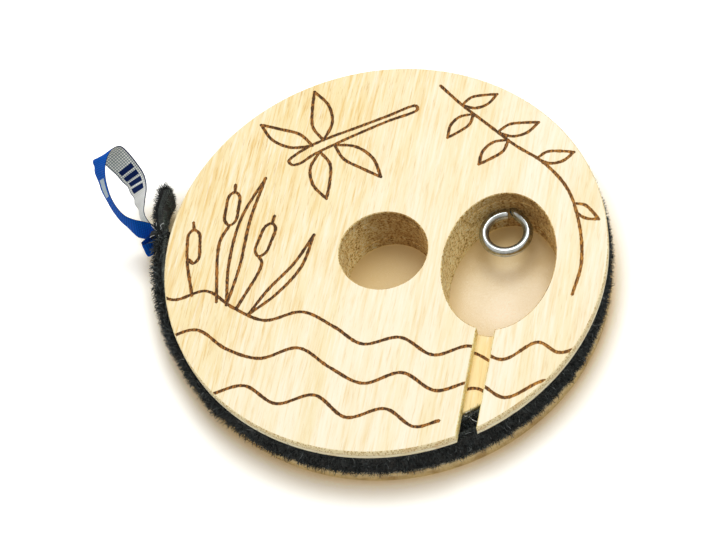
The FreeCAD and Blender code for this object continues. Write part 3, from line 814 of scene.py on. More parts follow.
def flip_if_needed(mesh):
    """Turns a closed shell's faces outwards."""
    shape = bmesh.new()
    shape.from_mesh(mesh)
    bmesh.ops.recalc_face_normals(shape, faces=shape.faces)
    if shape.calc_volume(signed=True) < 0:
        bmesh.ops.reverse_faces(shape, faces=shape.faces)
    shape.to_mesh(mesh)
    shape.free()


def strap_stations(first, last, step=0.8):
    count = max(3, round((last - first) / step))
    out = []
    for i in range(count + 1):
        distance = first + (last - first) * i / count
        place, outward = strap_at(distance)
        out.append((Vector((place.x, place.y, MIDDLE)), outward, distance))
    return out


def fibre(name, spine, radius, material):
    """One three-sided hair along a bent spine, ending in a point."""
    points, rows = [], len(spine) - 1
    for i, (x, z) in enumerate(spine[:-1]):
        thick = radius * (1 - 0.5 * i / rows)
        for k in range(3):
            angle = TAU * k / 3
            points.append((x + thick * math.cos(angle), thick * math.sin(angle), z))
    points.append((spine[-1][0], 0, spine[-1][1]))
    last = 3 * (rows - 1)
    faces = [quad for _, _, _, quad in lattice(rows, 3)]
    faces += [[last + k, last + (k + 1) % 3, 3 * rows] for k in range(3)] + [[2, 1, 0]]
    return piece_of(name, points, faces, [material], smooth=80)


def patch(name, stations, lanes):
    """An open strip of surface that hairs grow from; lanes are (outward, height) in order."""
    size = len(lanes)
    faces = [
        [i * size + j, i * size + j + 1, (i + 1) * size + j + 1, (i + 1) * size + j]
        for i in range(len(stations) - 1) for j in range(size - 1)
    ]
    return piece_of(name, across(stations, lanes), faces, [])


# ---- what grows on the strap


class Growth(Graph):
    """A Geometry Nodes tree with named inputs, each listed as (name, kind)."""

    def __init__(self, name, *inputs):
        tree = bpy.data.node_groups.new(name, "GeometryNodeTree")
        for label, kind in inputs:
            tree.interface.new_socket(label, in_out="INPUT", socket_type="NodeSocket" + kind)
        tree.interface.new_socket("Made", in_out="OUTPUT", socket_type="NodeSocketGeometry")
        super().__init__(tree)
        self.given = self.put("NodeGroupInput").outputs

    def chance(self, low, high, seed, kind="FLOAT"):
        """A random value for each point."""
        first, last, out = {"FLOAT": (2, 3, 1), "FLOAT_VECTOR": (0, 1, 0)}[kind]
        limits = {f"_{first}": low, f"_{last}": high}
        node = self.put("FunctionNodeRandomValue", {"data_type": kind}, Seed=seed, **limits)
        return node.outputs[out]

    def vector(self, operation, first, **sockets):
        node = self.put("ShaderNodeVectorMath", {"operation": operation}, _0=first, **sockets)
        return node.outputs[0]

    def turned(self, rotation, euler):
        """A rotation with one more turn in its own frame."""
        extra = self.put("FunctionNodeEulerToRotation", _0=euler).outputs[0]
        settings = {"rotation_space": "LOCAL"}
        return self.put("FunctionNodeRotateRotation", settings, _0=rotation, _1=extra).outputs[0]

    def planted(self, thing, points, **sockets):
        """Copies of an object, or of a geometry, on the points."""
        if thing.type == "OBJECT":
            thing = self.put("GeometryNodeObjectInfo", Object=thing).outputs["Geometry"]
        return self.put(
            "GeometryNodeInstanceOnPoints", Points=points, Instance=thing, **sockets,
        ).outputs[0]

    def toned(self, geometry, tone):
        """Gives each copy its own tone, for the finish to read."""
        return self.put(
            "GeometryNodeStoreNamedAttribute", {"domain": "INSTANCE", "data_type": "FLOAT"},
            Name="tone", Geometry=geometry, Value=tone,
        ).outputs[0]

    def finished(self, geometry):
        """The tree, ended by making the copies real and giving them their material."""
        real = self.put("GeometryNodeRealizeInstances", _0=geometry).outputs[0]
        finish = self.given["Finish"]
        painted = self.put("GeometryNodeSetMaterial", Geometry=real, Material=finish).outputs[0]
        self.put("NodeGroupOutput", _0=painted)
        return self.tree


def nap_tree():
    """Hairs scattered over a surface: tangled, in clumps, each with its own tone, paler on the
    longer clumps as a painted highlight.
    """
    g = Growth("nap", ("Surface", "Geometry"), ("Hair", "Object"), ("Density", "Float"),
               ("Seed", "Int"), ("Shortest", "Float"), ("Longest", "Float"), ("Lean", "Float"),
               ("Finish", "Material"))
    lean, seed = g.given["Lean"], g.given["Seed"]
    spread = g.put("GeometryNodeDistributePointsOnFaces", Mesh=g.given["Surface"],
                   Density=g.given["Density"], Seed=seed).outputs
    back = g.times(lean, -1.0)
    tilt = g.put("ShaderNodeCombineXYZ", X=g.chance(back, lean, g.plus(seed, 3)),
                 Y=g.chance(back, lean, g.plus(seed, 5)), Z=g.chance(0.0, TAU, g.plus(seed, 7)))
    place = g.put("GeometryNodeInputPosition").outputs[0]
    clump = g.put("ShaderNodeTexNoise", Vector=g.vector("MULTIPLY", place, _1=(1.0, 1.0, 0.4)),
                  Scale=1250.0, Detail=1.5)
    reach = g.between(clump.outputs[0], 0.42, 0.57, 0.40, 1.25)
    size = g.times(g.chance(g.given["Shortest"], g.given["Longest"], g.plus(seed, 9)), reach)
    hairs = g.planted(g.given["Hair"], spread["Points"], Scale=size,
                      Rotation=g.turned(spread["Rotation"], tilt.outputs[0]))
    # A hair's tone is random, scaled by its clump's reach: the longer tufts carry a painted
    # highlight.
    own = g.chance(0.0, 1.0, g.plus(seed, 13))
    return g.finished(g.toned(hairs, g.times(g.times(reach, 0.8), own)))


def hook_tree():
    """Little hooks standing on every corner of a surface, each turned its own way."""
    g = Growth("hook_rows", ("Surface", "Geometry"), ("Hook", "Object"), ("Seed", "Int"),
               ("Askew", "Float"), ("Finish", "Material"))
    seed = g.given["Seed"]
    normal = g.put("GeometryNodeInputNormal").outputs[0]
    stand = g.put("FunctionNodeAlignRotationToVector", {"axis": "Z"}, Vector=normal).outputs[0]
    low, high = (g.vector("SCALE", most, Scale=g.given["Askew"])
                 for most in ((-0.3, -0.3, -1.0), (0.3, 0.3, 1.0)))
    hooks = g.planted(g.given["Hook"], g.given["Surface"],
                      Rotation=g.turned(stand, g.chance(low, high, seed, "FLOAT_VECTOR")))
    return g.finished(g.toned(hooks, g.chance(0.0, 1.0, seed)))


def row_tree():
    """Turns of thread side by side, each a little askew."""
    g = Growth("thread_row", ("Turn", "Geometry"), ("Count", "Int"), ("Start", "Vector"),
               ("Pitch", "Vector"), ("Seed", "Int"), ("Askew", "Float"), ("Finish", "Material"))
    askew = g.given["Askew"]
    line = g.put("GeometryNodeMeshLine", {"mode": "OFFSET"}, Count=g.given["Count"],
                 Start_Location=g.given["Start"], Offset=g.given["Pitch"]).outputs[0]
    lean = g.chance(g.times(askew, -1.0), askew, g.given["Seed"], "FLOAT_VECTOR")
    return g.finished(g.planted(g.given["Turn"], line, Rotation=lean))


# ---- camera, light and floor

CAMERA_PLACE, LENS, SENSOR = (0.10748979, -0.23322216, 0.41154343), 105.119, 36.0
CAMERA_RIGHT = Vector((0.96819505, 0.19256105, -0.15974538))
CAMERA_DOWN = Vector((0.08551592, -0.85471878, -0.51199886))
CAMERA_AHEAD = Vector((-0.23512842, 0.48205399, -0.84400153))
SKY = ((0.0, (0.18, 0.165, 0.14, 1)), (0.35, (0.48, 0.45, 0.39, 1)),
       (0.65, (0.97, 0.93, 0.85, 1)), (0.95, (1.16, 1.12, 1.06, 1)))
SKY_STRENGTH = 0.785
LAMP_PLACE, LAMP_AIM = Vector((0.03, 0.32, 0.82)), Vector((0, 0, 0.01))
LAMP_SIZE, LAMP_POWER, LAMP_COLOUR = 0.52, 3.2, (0.93, 0.99, 1.0)
FLOOR_TONE, FLOOR_LIFT, FLOOR_REACH, FLOOR_LEVEL = 0.88, 1.75, 4000.0, -0.02
CONTACT_GAP = 0.0003
WARM_SHADE = (0.44, 0.338, 0.178)
SHADE_REACH, SHADE_DARK, SHADE_LIGHT = 0.022, 0.36, 0.84


def set_camera():
    camera = bpy.data.objects.new("camera", bpy.data.cameras.new("camera"))
    bpy.context.scene.collection.objects.link(camera)
    turn = Matrix((CAMERA_RIGHT, -CAMERA_DOWN, -CAMERA_AHEAD)).transposed().to_4x4()
    camera.matrix_world = Matrix.Translation(CAMERA_PLACE) @ turn
    camera.data.sensor_width, camera.data.lens = SENSOR, LENS
    camera.data.clip_start, camera.data.clip_end = 0.01, 20.0
    bpy.context.scene.camera = camera


def set_light():
    """A sky that darkens towards the horizon on both sides, and one round lamp."""
    world = bpy.data.worlds.new("studio")
    bpy.context.scene.world = world
    world.use_nodes = True
    g = Graph(world.node_tree)
    height = g.axes(g.put("ShaderNodeTexCoord").outputs["Generated"])["Z"]
    sky = g.put("ShaderNodeBackground", Color=g.ramp(g.math("ABSOLUTE", height), *SKY),
                Strength=SKY_STRENGTH)
    g.put("ShaderNodeOutputWorld", _0=sky.outputs[0])
    data = bpy.data.lights.new("key", "AREA")
    data.shape = "DISK"
    data.size, data.energy, data.color = LAMP_SIZE, LAMP_POWER, LAMP_COLOUR
    lamp = bpy.data.objects.new("key", data)
    lamp.location = LAMP_PLACE
    lamp.rotation_euler = (LAMP_AIM - LAMP_PLACE).to_track_quat("-Z", "Y").to_euler()
    bpy.context.scene.collection.objects.link(lamp)


def set_floor():
    """A pale floor: white to the camera, with the object's shadow kept and a painted warm shade
    near and under the object, from ambient occlusion. It lets light through from below and where
    something all but touches it."""
    material = bpy.data.materials.new("white_floor")
    material.use_nodes = True
    g = Graph(material.node_tree)
    ray = g.put("ShaderNodeLightPath").outputs
    back = g.put("ShaderNodeNewGeometry").outputs["Backfacing"]
    # Painted shade: where ambient occlusion finds the object near, the floor turns to a warm tan.
    shelter = g.put("ShaderNodeAmbientOcclusion", {"samples": 8}, Distance=SHADE_REACH)
    open_sky = g.between(shelter.outputs["AO"], SHADE_DARK, SHADE_LIGHT)
    lit = g.mix(open_sky, tuple(c * FLOOR_LIFT for c in WARM_SHADE) + (1,),
                (FLOOR_TONE * FLOOR_LIFT,) * 3 + (1,))
    direct = g.math("ADD", ray["Is Camera Ray"], ray["Is Glossy Ray"], clamp=True)
    tone = g.mix(direct, (FLOOR_TONE, FLOOR_TONE, FLOOR_TONE * 0.99, 1), lit)
    unseen = g.math("MAXIMUM", g.math("LESS_THAN", ray["Ray Length"], CONTACT_GAP), back)
    matte = g.put("ShaderNodeBsdfDiffuse", Color=tone).outputs[0]
    clear = g.put("ShaderNodeBsdfTransparent").outputs[0]
    surface = g.put("ShaderNodeMixShader", _0=unseen, _1=matte, _2=clear).outputs[0]
    g.put("ShaderNodeOutputMaterial", Surface=surface)
    corners = [(x * FLOOR_REACH, y * FLOOR_REACH, FLOOR_LEVEL)
               for x, y in ((-1, -1), (1, -1), (1, 1), (-1, 1))]
    piece_of("floor", corners, [[0, 1, 2, 3]], [material])


set_camera()
set_light()
set_floor()
bpy.context.scene.view_settings.view_transform = "Standard"

# ---- wood

face, edge, wall = bamboo_face(), ply_edge(), burnt_wall()
# The core's face, seen only down the slot, in deeper yellower tones: painted shade from the slot's
# walls.
shaded_core_face = bamboo_face("bamboo_core_face", (252, 228, 168), (255, 238, 188), (248, 220, 156),
                        (232, 192, 118), 0.9)
lines = drawing()
in_slot = [
    line for line in lines
    if any(SLOT_LOW - 4 < x < SLOT_HIGH + 4 and y < -OVAL_HALF_LENGTH for x, y in line)
]
upper = panel("engraved_cheek", DISC_RADIUS, TOTAL - CHEEK, TOTAL, [face, edge, wall], lines, True)
core = panel("wooden_core", CORE_RADIUS, CHEEK, TOTAL - CHEEK, [shaded_core_face, wall, wall], in_slot)
lower = panel("plain_cheek", DISC_RADIUS, 0.0, CHEEK, [face, edge, wall])
for made, node, slot in ((upper, "upper_cheek", "bamboo_face"), (core, "core", "bamboo_core"),
                         (lower, "lower_cheek", "bamboo_face")):
    join(made, "winder", slot, node)

# ---- strap and its nap

web = tape_web("hook_web", (36, 40, 38), (122, 132, 126), 0.48)
# A darker copy of the hook tape's web, for the folded end: painted shade in the slit where its hook
# tapes face each other.
dark_web = tape_web("dark_web", (24, 28, 26), (70, 80, 75), 0.6)
ground = tape_web("loop_ground", (12, 13, 12), (34, 36, 34), 0.8)
dark_pile = pile("dark_pile", (3, 4, 4), (76, 84, 86), (150, 156, 160))
# A paler copy of the pile for the folded end's inner side: a painted highlight.
soft_pile = pile("soft_pile", (30, 36, 33), (130, 144, 136), (170, 176, 180))
half_width = STRAP_WIDTH / 2
HOOK_HEIGHT, HOOK_PITCH, HOOK_LANES = 0.42, 1.05, 7
HOOK_PROFILE = filled(rounded(-STRAP / 2 + HOOK_HEIGHT, -STRAP / 2 + HOOK_SIDE, half_width, 0.36))
LOOP_PROFILE = filled(
    rounded(-STRAP / 2 + HOOK_SIDE + 0.02, STRAP / 2 - 0.75, half_width - 0.1, 0.3)
)
hair = fibre("hair", [(0, 0), (0.05, 0.36), (0.18, 0.68), (0.42, 0.90), (0.70, 0.90)], 0.052,
             dark_pile)
hook_nylon = pile("hook_nylon", (22, 24, 24), (70, 76, 76), (120, 126, 126), 0.1)
hook = fibre("hook", [(0, -0.05), (0, 0.20), (0.04, 0.30), (0.13, 0.35), (0.21, 0.31), (0.24, 0.20)],
             0.075, hook_nylon)
hairs_on, hooks_on, turns_along = nap_tree(), hook_tree(), row_tree()
NAP_DENSITY, NAP_LEAN, NAP_INSET, HOOK_LEAN = 15.0, 0.95, 0.78, 0.35
SLOT_SEED, WOUND_SEED, NAP_SEED, HOOK_SEED = 71, 60, 21, 80


def nap(name, stations, lanes, density, seed, shortest, longest, finish=dark_pile):
    host = patch(name + "_host", stations, lanes)
    made = grow(name, host, hairs_on, {
        "Hair": hair, "Density": density * 1e6, "Seed": seed, "Shortest": shortest,
        "Longest": longest, "Lean": NAP_LEAN, "Finish": finish,
    })
    discard(host)
    return made


def lanes_over(top, bottom):
    """Where hairs grow across the strap: both edges of the loop tape and its outer face."""
    edge = [(bottom, 0.08), ((top + bottom) / 2, 0.05), (top - 0.2, 0.1), (top, 0.4)]
    return ([(out, -half_width + inset) for out, inset in edge] + [(top, 0.0)]
            + [(out, half_width - inset) for out, inset in reversed(edge)])


def strap_nap(name, first, last, seed, carry, shortest=0.75, longest=1.3, brushed_over=False):
    """The brushed pile of one stretch of the strap; brushed over, it hides the hook tape's edge."""
    bottom = -STRAP / 2 + (HOOK_HEIGHT + 0.1 if brushed_over else HOOK_SIDE)
    lanes = lanes_over(STRAP / 2 - NAP_INSET, bottom)
    hairs = nap(name, strap_stations(first, last), lanes, NAP_DENSITY, seed, shortest, longest)
    join(hairs, carry, "loop_tape")


def strap_hooks(number, first, last, carry):
    """The hooks on the inner face of one stretch of the strap."""
    lanes = [(-STRAP / 2 + HOOK_HEIGHT, 3 * HOOK_PITCH - HOOK_PITCH * k) for k in range(HOOK_LANES)]
    host = patch(f"hooks_{number}_host", strap_stations(first, last, HOOK_PITCH)[:-1], lanes)
    hooks = grow(f"hooks_{number}", host, hooks_on, {
        "Hook": hook, "Seed": HOOK_SEED + number, "Askew": HOOK_LEAN, "Finish": hook_nylon,
    })
    discard(host)
    join(hooks, carry, "hook_tape")


def strap_piece(number, first, last, carry, caps, part):
    """Both tapes of one stretch, which stand for the solids of a part of the strap."""
    stations = strap_stations(first, last)
    for tape, profile, finish in (("hook_tape", HOOK_PROFILE, web),
                                  ("loop_tape", LOOP_PROFILE, ground)):
        made = swept(f"{tape}_{number}", stations, profile, finish, caps)
        join(made, carry, tape, f"{tape}_{part}" if part else None)


BEND_REACH = 7.5
PILE_LENGTHS = (1.25, 1.25, 1.3, 1.5, 1.85, 2.1)
SHORTEST_SHARE = 0.58
SLOT_AT, SLOT_STRETCH = 308, 14.0
marks = [LINK_FROM + mark for mark in (-10.9, 10.9, 32.7, 54.5, 75.66, 96.08)] + [TAIL]
bodies = ["winder"] + [f"strap_link_{k}" for k in range(1, 6)]
strap_piece(0, 0.0, marks[0], "winder", (True, False), "wound")
covered_until = math.radians(INNER_START - SLOT_AT) * INNER_RADIUS
past_slot = covered_until + SLOT_STRETCH
strap_nap("nap_in_slot", covered_until, past_slot, SLOT_SEED, "winder", brushed_over=True)
lengths = np.linspace(past_slot, marks[0], 6)
for number, (first, last) in enumerate(zip(lengths, lengths[1:]), start=1):
    strap_nap(f"nap_wound_{number}", first, last, WOUND_SEED + number, "winder")
for k, longest in enumerate(PILE_LENGTHS):
    first, last = marks[k:k + 2]
    carry, part, at_end = bodies[-1], None, k == len(HINGES)
    if not at_end:
        start, end = (strap_at(LINK_FROM + HINGES[k] + shift)[0] * MM
                      for shift in (-BEND_REACH, BEND_REACH))
        carry, part = (bodies[k], bodies[k + 1], start, end), f"link_{k + 1}"
    strap_piece(k + 1, first, last, carry, (False, at_end), part)
    strap_nap(f"nap_{k + 1}", first, last, NAP_SEED + k, carry, longest * SHORTEST_SHARE, longest,
              brushed_over=k == 0)
    strap_hooks(k + 1, first, last, carry)

# ---- folded end

FOLD_LENGTH, FOLD_HALF, FOLD_LOOP, FOLD_SLIT = 13.0, 2.35, 1.5, 0.12
FOLD_BELLY, FOLD_SLIM, FOLD_LEAN, FOLD_TILT = 1.2, 0.40, 0.9, 0.10
FOLD_ROWS, TIP_ROWS, OUTER_ROWS, FOLD_DENSITY, FOLD_INSET = 14, 16, 25, 17.0, 0.72
OUTER_SEED, INNER_SEED = 41, 42


def fold_stations():
    """Round the folded end: out along its outer side, over the tip and back along the inner."""
    heel = FOLD_LENGTH - FOLD_HALF + 0.3
    out, run = [], 0.0

    def swell(along):
        return 0.66 + 0.36 * (along / heel) ** 3

    def middle(along):
        share = min(1.0, along / heel)
        lean = FOLD_LEAN * share ** 1.5 + FOLD_BELLY * math.sin(math.pi * share)
        return SEAM_MIDDLE + ALONG * along + OUTWARD * lean

    for i in range(FOLD_ROWS):
        along = heel * i / FOLD_ROWS
        out.append((middle(along), OUTWARD * swell(along), run))
        run += heel / FOLD_ROWS
    for i in range(TIP_ROWS + 1):
        angle = math.pi * i / TIP_ROWS
        turned = OUTWARD * math.cos(angle) + ALONG * math.sin(angle)
        blunt = 1 + 0.26 * math.sin(2 * angle) ** 2
        slim = FOLD_SLIM * (1 - math.cos(angle)) / 2
        out.append((middle(heel), turned * (swell(heel) - slim) * blunt, run))
        run += math.pi * FOLD_HALF / TIP_ROWS
    for i in range(1, FOLD_ROWS + 1):
        along = heel * (1 - i / FOLD_ROWS)
        out.append((middle(along), -OUTWARD * (swell(along) - FOLD_SLIM), run))
        run += heel / FOLD_ROWS
    return out


def tilt(made):
    """Tips the folded end inwards at the top and outwards at the foot, from nothing at the seam."""
    for vertex in made.data.vertices:
        reach = vertex.co / MM - SEAM_MIDDLE
        share = min(1.0, max(0.0, reach.dot(ALONG) / (FOLD_LENGTH - FOLD_HALF)))
        vertex.co -= OUTWARD * (FOLD_TILT * share * reach.z * MM)


turns = fold_stations()
inner = FOLD_HALF - FOLD_LOOP
fold_lanes = lanes_over(FOLD_HALF - FOLD_INSET, inner)
# The folded end's hook tapes wear the darker web: painted shade in the slit.
fold_hooks = swept("hook_tape_folded", turns,
                   filled(rounded(FOLD_SLIT / 2, inner, half_width, 0.25)), dark_web)
fold_loops = swept("loop_tape_folded", turns,
                   filled(rounded(inner + 0.02, FOLD_HALF - 0.7, half_width - 0.1, 0.3)), ground)
outer_nap = nap("nap_folded_outer", turns[:OUTER_ROWS], fold_lanes, FOLD_DENSITY, OUTER_SEED,
                0.8, 1.3)
# The inner side's shorter nap wears the paler pile: a painted highlight.
inner_nap = nap("nap_folded_inner", turns[OUTER_ROWS - 1:], fold_lanes, FOLD_DENSITY, INNER_SEED,
                0.35, 0.6, soft_pile)
for made, slot, node in ((fold_hooks, "hook_tape", "hook_tape_fold"),
                         (fold_loops, "loop_tape", "loop_tape_fold"),
                         (outer_nap, "loop_tape", None), (inner_nap, "loop_tape", None)):
    tilt(made)
    join(made, "strap_link_5", slot, node)

# ---- seam

THREAD, THREAD_GAP, THREAD_TURNS, THREAD_PITCH, SEAM_SEED = 0.15, 0.6, 4, 0.235, 5


def tube(name, way, radius, material, sides, closed=False, swell=None):
    """A round tube along a way of points; swell gives each row its own radius per side."""
    way = [Vector(p) for p in way]
    count = len(way)
    points, faces, uvs, run = [], [], [], [0.0]
    side = None
    for i, here in enumerate(way):
        run.append(run[-1] + (way[(i + 1) % count] - here).length)
        if closed:
            ahead = way[(i + 1) % count] - way[i - 1]
        else:
            ahead = way[min(i + 1, count - 1)] - way[max(i - 1, 0)]
        ahead.normalize()
        if side is None:
            side = ahead.orthogonal()
        side = (side - ahead * side.dot(ahead)).normalized()
        other = ahead.cross(side)
        for k in range(sides):
            angle = TAU * k / sides
            reach = swell(i, k) if swell else radius
            points.append(here + (side * math.cos(angle) + other * math.sin(angle)) * reach)
    for i, k, _, quad in lattice(count, sides, closed):
        faces.append(quad)
        uvs += square(run[i], run[i + 1], k / sides, (k + 1) / sides)
    if not closed:
        faces += [end_face(0, sides, -1), end_face(count - 1, sides, 1)]
        uvs += [(0.0, 0.0)] * (2 * sides)
    return piece_of(name, points, faces, [material], uvs=uvs, smooth=50)


def wrap_way():
    """One turn of thread round the strap and the sewn end of the ribbon."""
    spots = [OUTWARD * out + UP * height for out, height in rounded(
        -STRAP / 2 - 0.02, STRAP / 2 + 1.2 + THREAD, half_width + 0.12, 0.7, 5)]
    dense = []
    for a, b in zip(spots, spots[1:] + spots[:1]):
        steps = max(1, round((b - a).length / THREAD_GAP))
        dense += [a.lerp(b, i / steps) for i in range(steps)]
    return dense


thread = sewing_thread()
turn_of_thread = tube("turn_of_thread", wrap_way(), THREAD, thread, 8, closed=True)
seam = grow("seam_wraps", turn_of_thread, turns_along, {
    "Count": THREAD_TURNS, "Start": SEAM_MIDDLE * MM - ALONG * 0.12 * MM,
    "Pitch": -ALONG * THREAD_PITCH * MM, "Seed": SEAM_SEED, "Askew": 0.03, "Finish": thread,
})
discard(turn_of_thread)
join(seam, "strap_link_5", "black_thread", "seam_thread")

# ---- frayed thread ends

FRAY, TACK_SEED, SLOT_FRAY_SEED = 0.065, 7, 9
# Ends at the tack: root and reach, each as (outward, along, up) from the middle of the seam.
TACK_ENDS = (
    ((1.2, 0.5, 3.75), (0.5, 1.7, 0.35)), ((1.5, 0.3, 3.7), (0.9, 1.5, 0.5)),
    ((0.6, 0.4, 3.7), (-0.2, 1.9, 0.3)), ((1.7, -0.8, 3.7), (0.7, -1.2, 0.6)),
    ((0.9, -0.9, 3.75), (-0.5, -1.0, 0.3)), ((1.3, 0.2, 3.8), (1.4, 0.6, 0.5)),
)
SLOT_ENDS = (
    ((24.5, -37.2, 10.72), (3.5, -0.5, 0.25)), ((25.9, -36.9, 10.7), (1.0, 0.9, 0.15)),
    ((24.7, -36.5, 10.65), (0.9, 0.6, 0.2)),
)


def frayed(name, ends, seed, carry):
    """Loose ends of pale thread: each starts at its root and wanders off with its own bends."""
    hand = random.Random(seed)
    points, faces, uvs = [], [], []
    for root, reach in ends:
        root, reach = Vector(root), Vector(reach)
        side = reach.orthogonal().normalized()
        other = reach.cross(side).normalized()
        keys = [root]
        for share in (0.3, 0.65, 1.0):
            bend = reach.length * 0.22 * share
            keys.append(root + reach * share + side * hand.uniform(-bend, bend)
                        + other * hand.uniform(-bend, bend))
        strand = tube("strand", spline(keys, 0.25), FRAY, pale_thread, 5)
        base = len(points)
        points += [v.co / MM for v in strand.data.vertices]
        faces += [[base + i for i in p.vertices] for p in strand.data.polygons]
        uvs += [tuple(c.uv) for c in strand.data.uv_layers[0].data]
        discard(strand)
    join(piece_of(name, points, faces, [pale_thread], uvs=uvs, smooth=60), carry, "black_thread")


def by_seam(root, out, along, up):
    return root + OUTWARD * out + ALONG * along + UP * up


pale_thread = pale_strand()
nowhere = Vector((0.0, 0.0, 0.0))
tack_ends = [(by_seam(SEAM_MIDDLE, *root), by_seam(nowhere, *reach)) for root, reach in TACK_ENDS]
frayed("frayed_tack_threads", tack_ends, TACK_SEED, "strap_link_5")
frayed("frayed_slot_threads", SLOT_ENDS, SLOT_FRAY_SEED, "winder")

# ---- screw eye

WIRE, RING, NECK, NECK_TURN, NECK_RUN = 1.15, 5.0, 1.6, math.radians(50), 2.3
RING_END, WALL_Y, SHANK_RUN, POINT_RUN = math.radians(94), 17.5, 10.0, 3.5
NECK_Y, BARE_SHANK, WIRE_SIDES, SCREW_PITCH = WALL_Y + 0.3, 3, 32, 1.1
RING_ROWS, RUN_ROWS, NECK_ROWS, SHANK_ROWS = 96, 6, 12, 110


def turned_by(angle):
    return Vector((math.cos(angle), math.sin(angle), 0))


def eye_way():
    """The wire's middle line, from the cut end round the ring and the neck to the point."""
    centre = Vector((OVAL_X + NECK, NECK_Y, MIDDLE))
    side = turned_by(NECK_TURN)
    heading = Vector((math.sin(NECK_TURN), -math.cos(NECK_TURN), 0))
    bend_end = centre - side * NECK
    ring_start = bend_end + heading * NECK_RUN
    ring = ring_start - side * RING
    sweep = NECK_TURN - RING_END + TAU
    way = [ring + turned_by(RING_END - TAU + sweep * i / RING_ROWS) * RING
           for i in range(RING_ROWS + 1)]
    way += [ring_start.lerp(bend_end, i / RUN_ROWS) for i in range(1, RUN_ROWS)]
    way += [centre + turned_by(math.pi + NECK_TURN * (1 - i / NECK_ROWS)) * NECK
            for i in range(NECK_ROWS + 1)]
    bare = len(way)
    way += [Vector((OVAL_X, NECK_Y + (SHANK_RUN + POINT_RUN - 0.3) * i / SHANK_ROWS, MIDDLE))
            for i in range(1, SHANK_ROWS + 1)]
    return way, bare


def screw_eye():
    way, bare = eye_way()
    tip_start = WALL_Y + SHANK_RUN

    def reach(row, k):
        if row < 2:
            return WIRE * (0.90, 0.985)[row]
        y = way[row].y
        if row < bare or y < WALL_Y + BARE_SHANK:
            return WIRE
        taper = 1.0 if y < tip_start else max(0.03, 1 - (y - tip_start) / POINT_RUN)
        phase = ((y - WALL_Y) / SCREW_PITCH - k / WIRE_SIDES) % 1.0
        crest = max(0.0, 1 - abs(phase - 0.5) * 5)
        return WIRE * taper * (0.80 + 0.20 * crest)

    return tube("screw_eye_wire", way, WIRE, polished_wire(), WIRE_SIDES, swell=reach)


join(screw_eye(), "winder", "steel_wire", "screw_eye")

# ---- ribbon

RIBBON_WIDTH, RIBBON_THICK, RIBBON_GATHER, EDGE_ROUND = 8.0, 0.28, 2.6, 0.45
LOOP_EDGE = [
    (-54.6, 2.2, 10.6), (-55.9, 3.0, 11.6), (-57.4, 2.7, 13.0), (-59.3, 2.0, 14.8),
    (-61.0, 1.9, 16.4), (-62.7, 2.9, 17.9), (-64.2, 4.6, 19.3), (-65.5, 7.0, 20.4),
    (-66.4, 9.4, 21.2), (-66.9, 12.1, 21.7), (-66.9, 15.0, 21.6), (-66.3, 17.2, 21.0),
    (-65.2, 18.3, 20.0), (-63.7, 17.7, 18.6), (-61.5, 16.0, 16.6), (-59.8, 14.2, 15.2),
    (-58.7, 11.4, 14.2), (-58.3, 7.8, 13.8), (-57.8, 4.8, 13.3), (-56.6, 3.3, 12.2),
    (-55.0, 2.4, 10.9),
]
# Direction of the ribbon's width at shares of its length: it twists along the loop.
LOOP_TWIST = [
    (0.00, (-0.20, 0.00, -0.98)), (0.11, (-0.16, 0.00, -0.99)), (0.17, (-0.32, 0.24, -0.92)),
    (0.26, (-0.43, 0.35, -0.83)), (0.34, (-0.50, 0.33, -0.80)), (0.43, (-0.62, 0.28, -0.74)),
    (0.485, (-0.71, 0.18, -0.68)), (0.53, (-0.75, -0.13, -0.65)), (0.60, (-0.72, -0.19, -0.67)),
    (0.70, (-0.72, -0.10, -0.68)), (0.77, (-0.71, 0.05, -0.70)), (0.82, (-0.60, 0.14, -0.79)),
    (0.90, (-0.46, 0.34, -0.82)), (1.00, (-0.44, 0.34, -0.83)),
]
LOOP_BEND = (-0.0548, 0.0022, 0.011), (-0.0592, 0.0026, 0.011)
ROOT_WIDTH, ROOT_LANES, LOOP_LANES = 5.2, 7, 9
# The sewn end's upper edge: (along, outward, height) from the outer face of the strap.
HAIRPIN = ((1.5, 0.8, 9.9), (0.4, 1.3, 9.8), (-0.6, 2.1, 9.6), (-1.5, 3.0, 9.5),
           (-2.2, 3.6, 9.4), (-2.7, 3.2, 9.35), (-2.3, 2.2, 9.4), (-1.5, 1.3, 9.5),
           (-0.5, 0.6, 9.6), (0.5, 0.35, 9.7))


def loop_fall(share):
    """Which way the ribbon's width falls at a share of the loop, eased between the keys."""
    for (start, first), (end, last) in zip(LOOP_TWIST, LOOP_TWIST[1:]):
        if share <= end:
            part = (share - start) / (end - start)
            part = part * part * (3 - 2 * part)
            return Vector(first).lerp(Vector(last), part)
    return Vector(LOOP_TWIST[-1][1])


def loop_width(share):
    """Full width, gathered where the loop is sewn."""
    gathered = max(0.0, 1 - share / 0.05, 1 - (1 - share) / 0.12)
    return RIBBON_WIDTH - RIBBON_GATHER * gathered


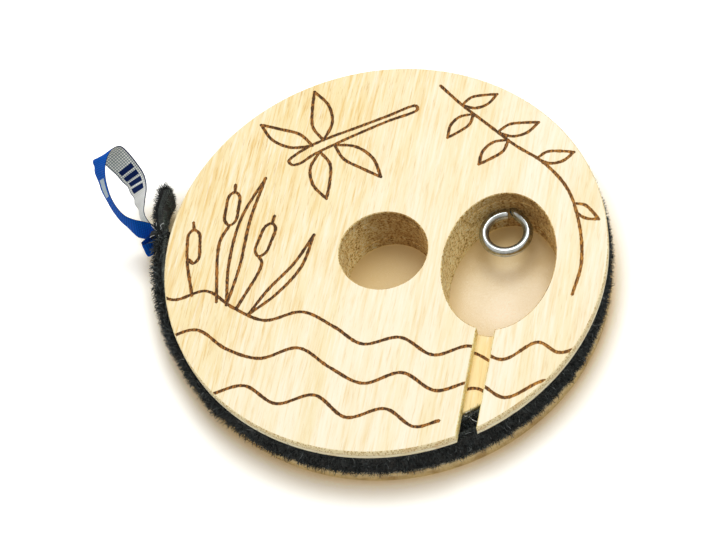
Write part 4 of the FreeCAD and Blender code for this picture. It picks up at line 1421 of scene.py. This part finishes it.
def ribbon_strip(name, upper, fall_at, width_at, materials, lanes):
    """A woven strip hung from its upper edge: outer face, inner face and bound edges."""
    upper = [Vector(p) for p in upper]
    count, size = len(upper), 2 * lanes
    points, faces, uvs, indices, run = [], [], [], [], [0.0]
    for i, spot in enumerate(upper):
        if i:
            run.append(run[-1] + (spot - upper[i - 1]).length)
        ahead = (upper[min(i + 1, count - 1)] - upper[max(i - 1, 0)]).normalized()
        fall = fall_at(i / (count - 1)).normalized()
        normal = ahead.cross(fall).normalized()
        width = width_at(i / (count - 1))
        for side, order in ((1, range(lanes)), (-1, reversed(range(lanes)))):
            for lane in order:
                share = lane / (lanes - 1)
                thin = EDGE_ROUND if lane in (0, lanes - 1) else 1.0
                points.append(
                    spot + fall * width * share + normal * side * RIBBON_THICK / 2 * thin
                )
    for i, j, k, quad in lattice(count, size):
        if j < lanes - 1:
            low, high, kind = j, j + 1, 0
        elif j in (lanes - 1, size - 1):
            low, high, kind = lanes - 1, lanes - 1, 2
        else:
            low, high, kind = size - 1 - j, size - 2 - j, 1
        low, high = (RIBBON_WIDTH * v / (lanes - 1) for v in (low, high))
        faces.append(quad)
        uvs += square(run[i], run[k], low, high)
        indices.append(kind)
    faces += [end_face(0, size, -1), end_face(count - 1, size, 1)]
    uvs += [(0.0, 0.0)] * (2 * size)
    made = piece_of(name, points, faces, materials, indices + [2, 2], uvs, smooth=60)
    flip_if_needed(made.data)
    return made


woven_bars = [(34.2 + 1.9 * k, 35.5 + 1.9 * k, 1.3, 6.7) for k in range(4)]
selvedges = [(-5.0, 90.0, edge - 0.3, edge + 0.3) for edge in (0.0, RIBBON_WIDTH)]
blue = ribbon_cloth("blue_weave", (0, 98, 208), (0, 64, 158), (186, 204, 218),
                    [(14.8, 19.2, 1.5, 6.0)])
pale_weave = ribbon_cloth("pale_weave", (255, 255, 255), (136, 154, 160), (12, 36, 92),
                          woven_bars + selvedges, 38.0)
bound = ribbon_cloth("bound_edge", (34, 52, 76), (18, 26, 40))
loop = ribbon_strip("ribbon_loop_cloth", spline(LOOP_EDGE, 0.5), loop_fall, loop_width,
                    [blue, pale_weave, bound], LOOP_LANES)
join(loop, ("strap_link_5", "pull_tab", *LOOP_BEND), "blue_ribbon", "ribbon_loop")

hairpin = []
for along, out, height in HAIRPIN:
    spot = SEAM + ALONG * along + OUTWARD * (STRAP / 2 + out)
    hairpin.append((spot.x, spot.y, height))
root = ribbon_strip("ribbon_root_cloth", spline(hairpin, 0.4), lambda share: -UP,
                    lambda share: ROOT_WIDTH, [blue, blue, bound], ROOT_LANES)
join(root, "strap_link_5", "blue_ribbon", "ribbon_root")

discard(hair, hook)
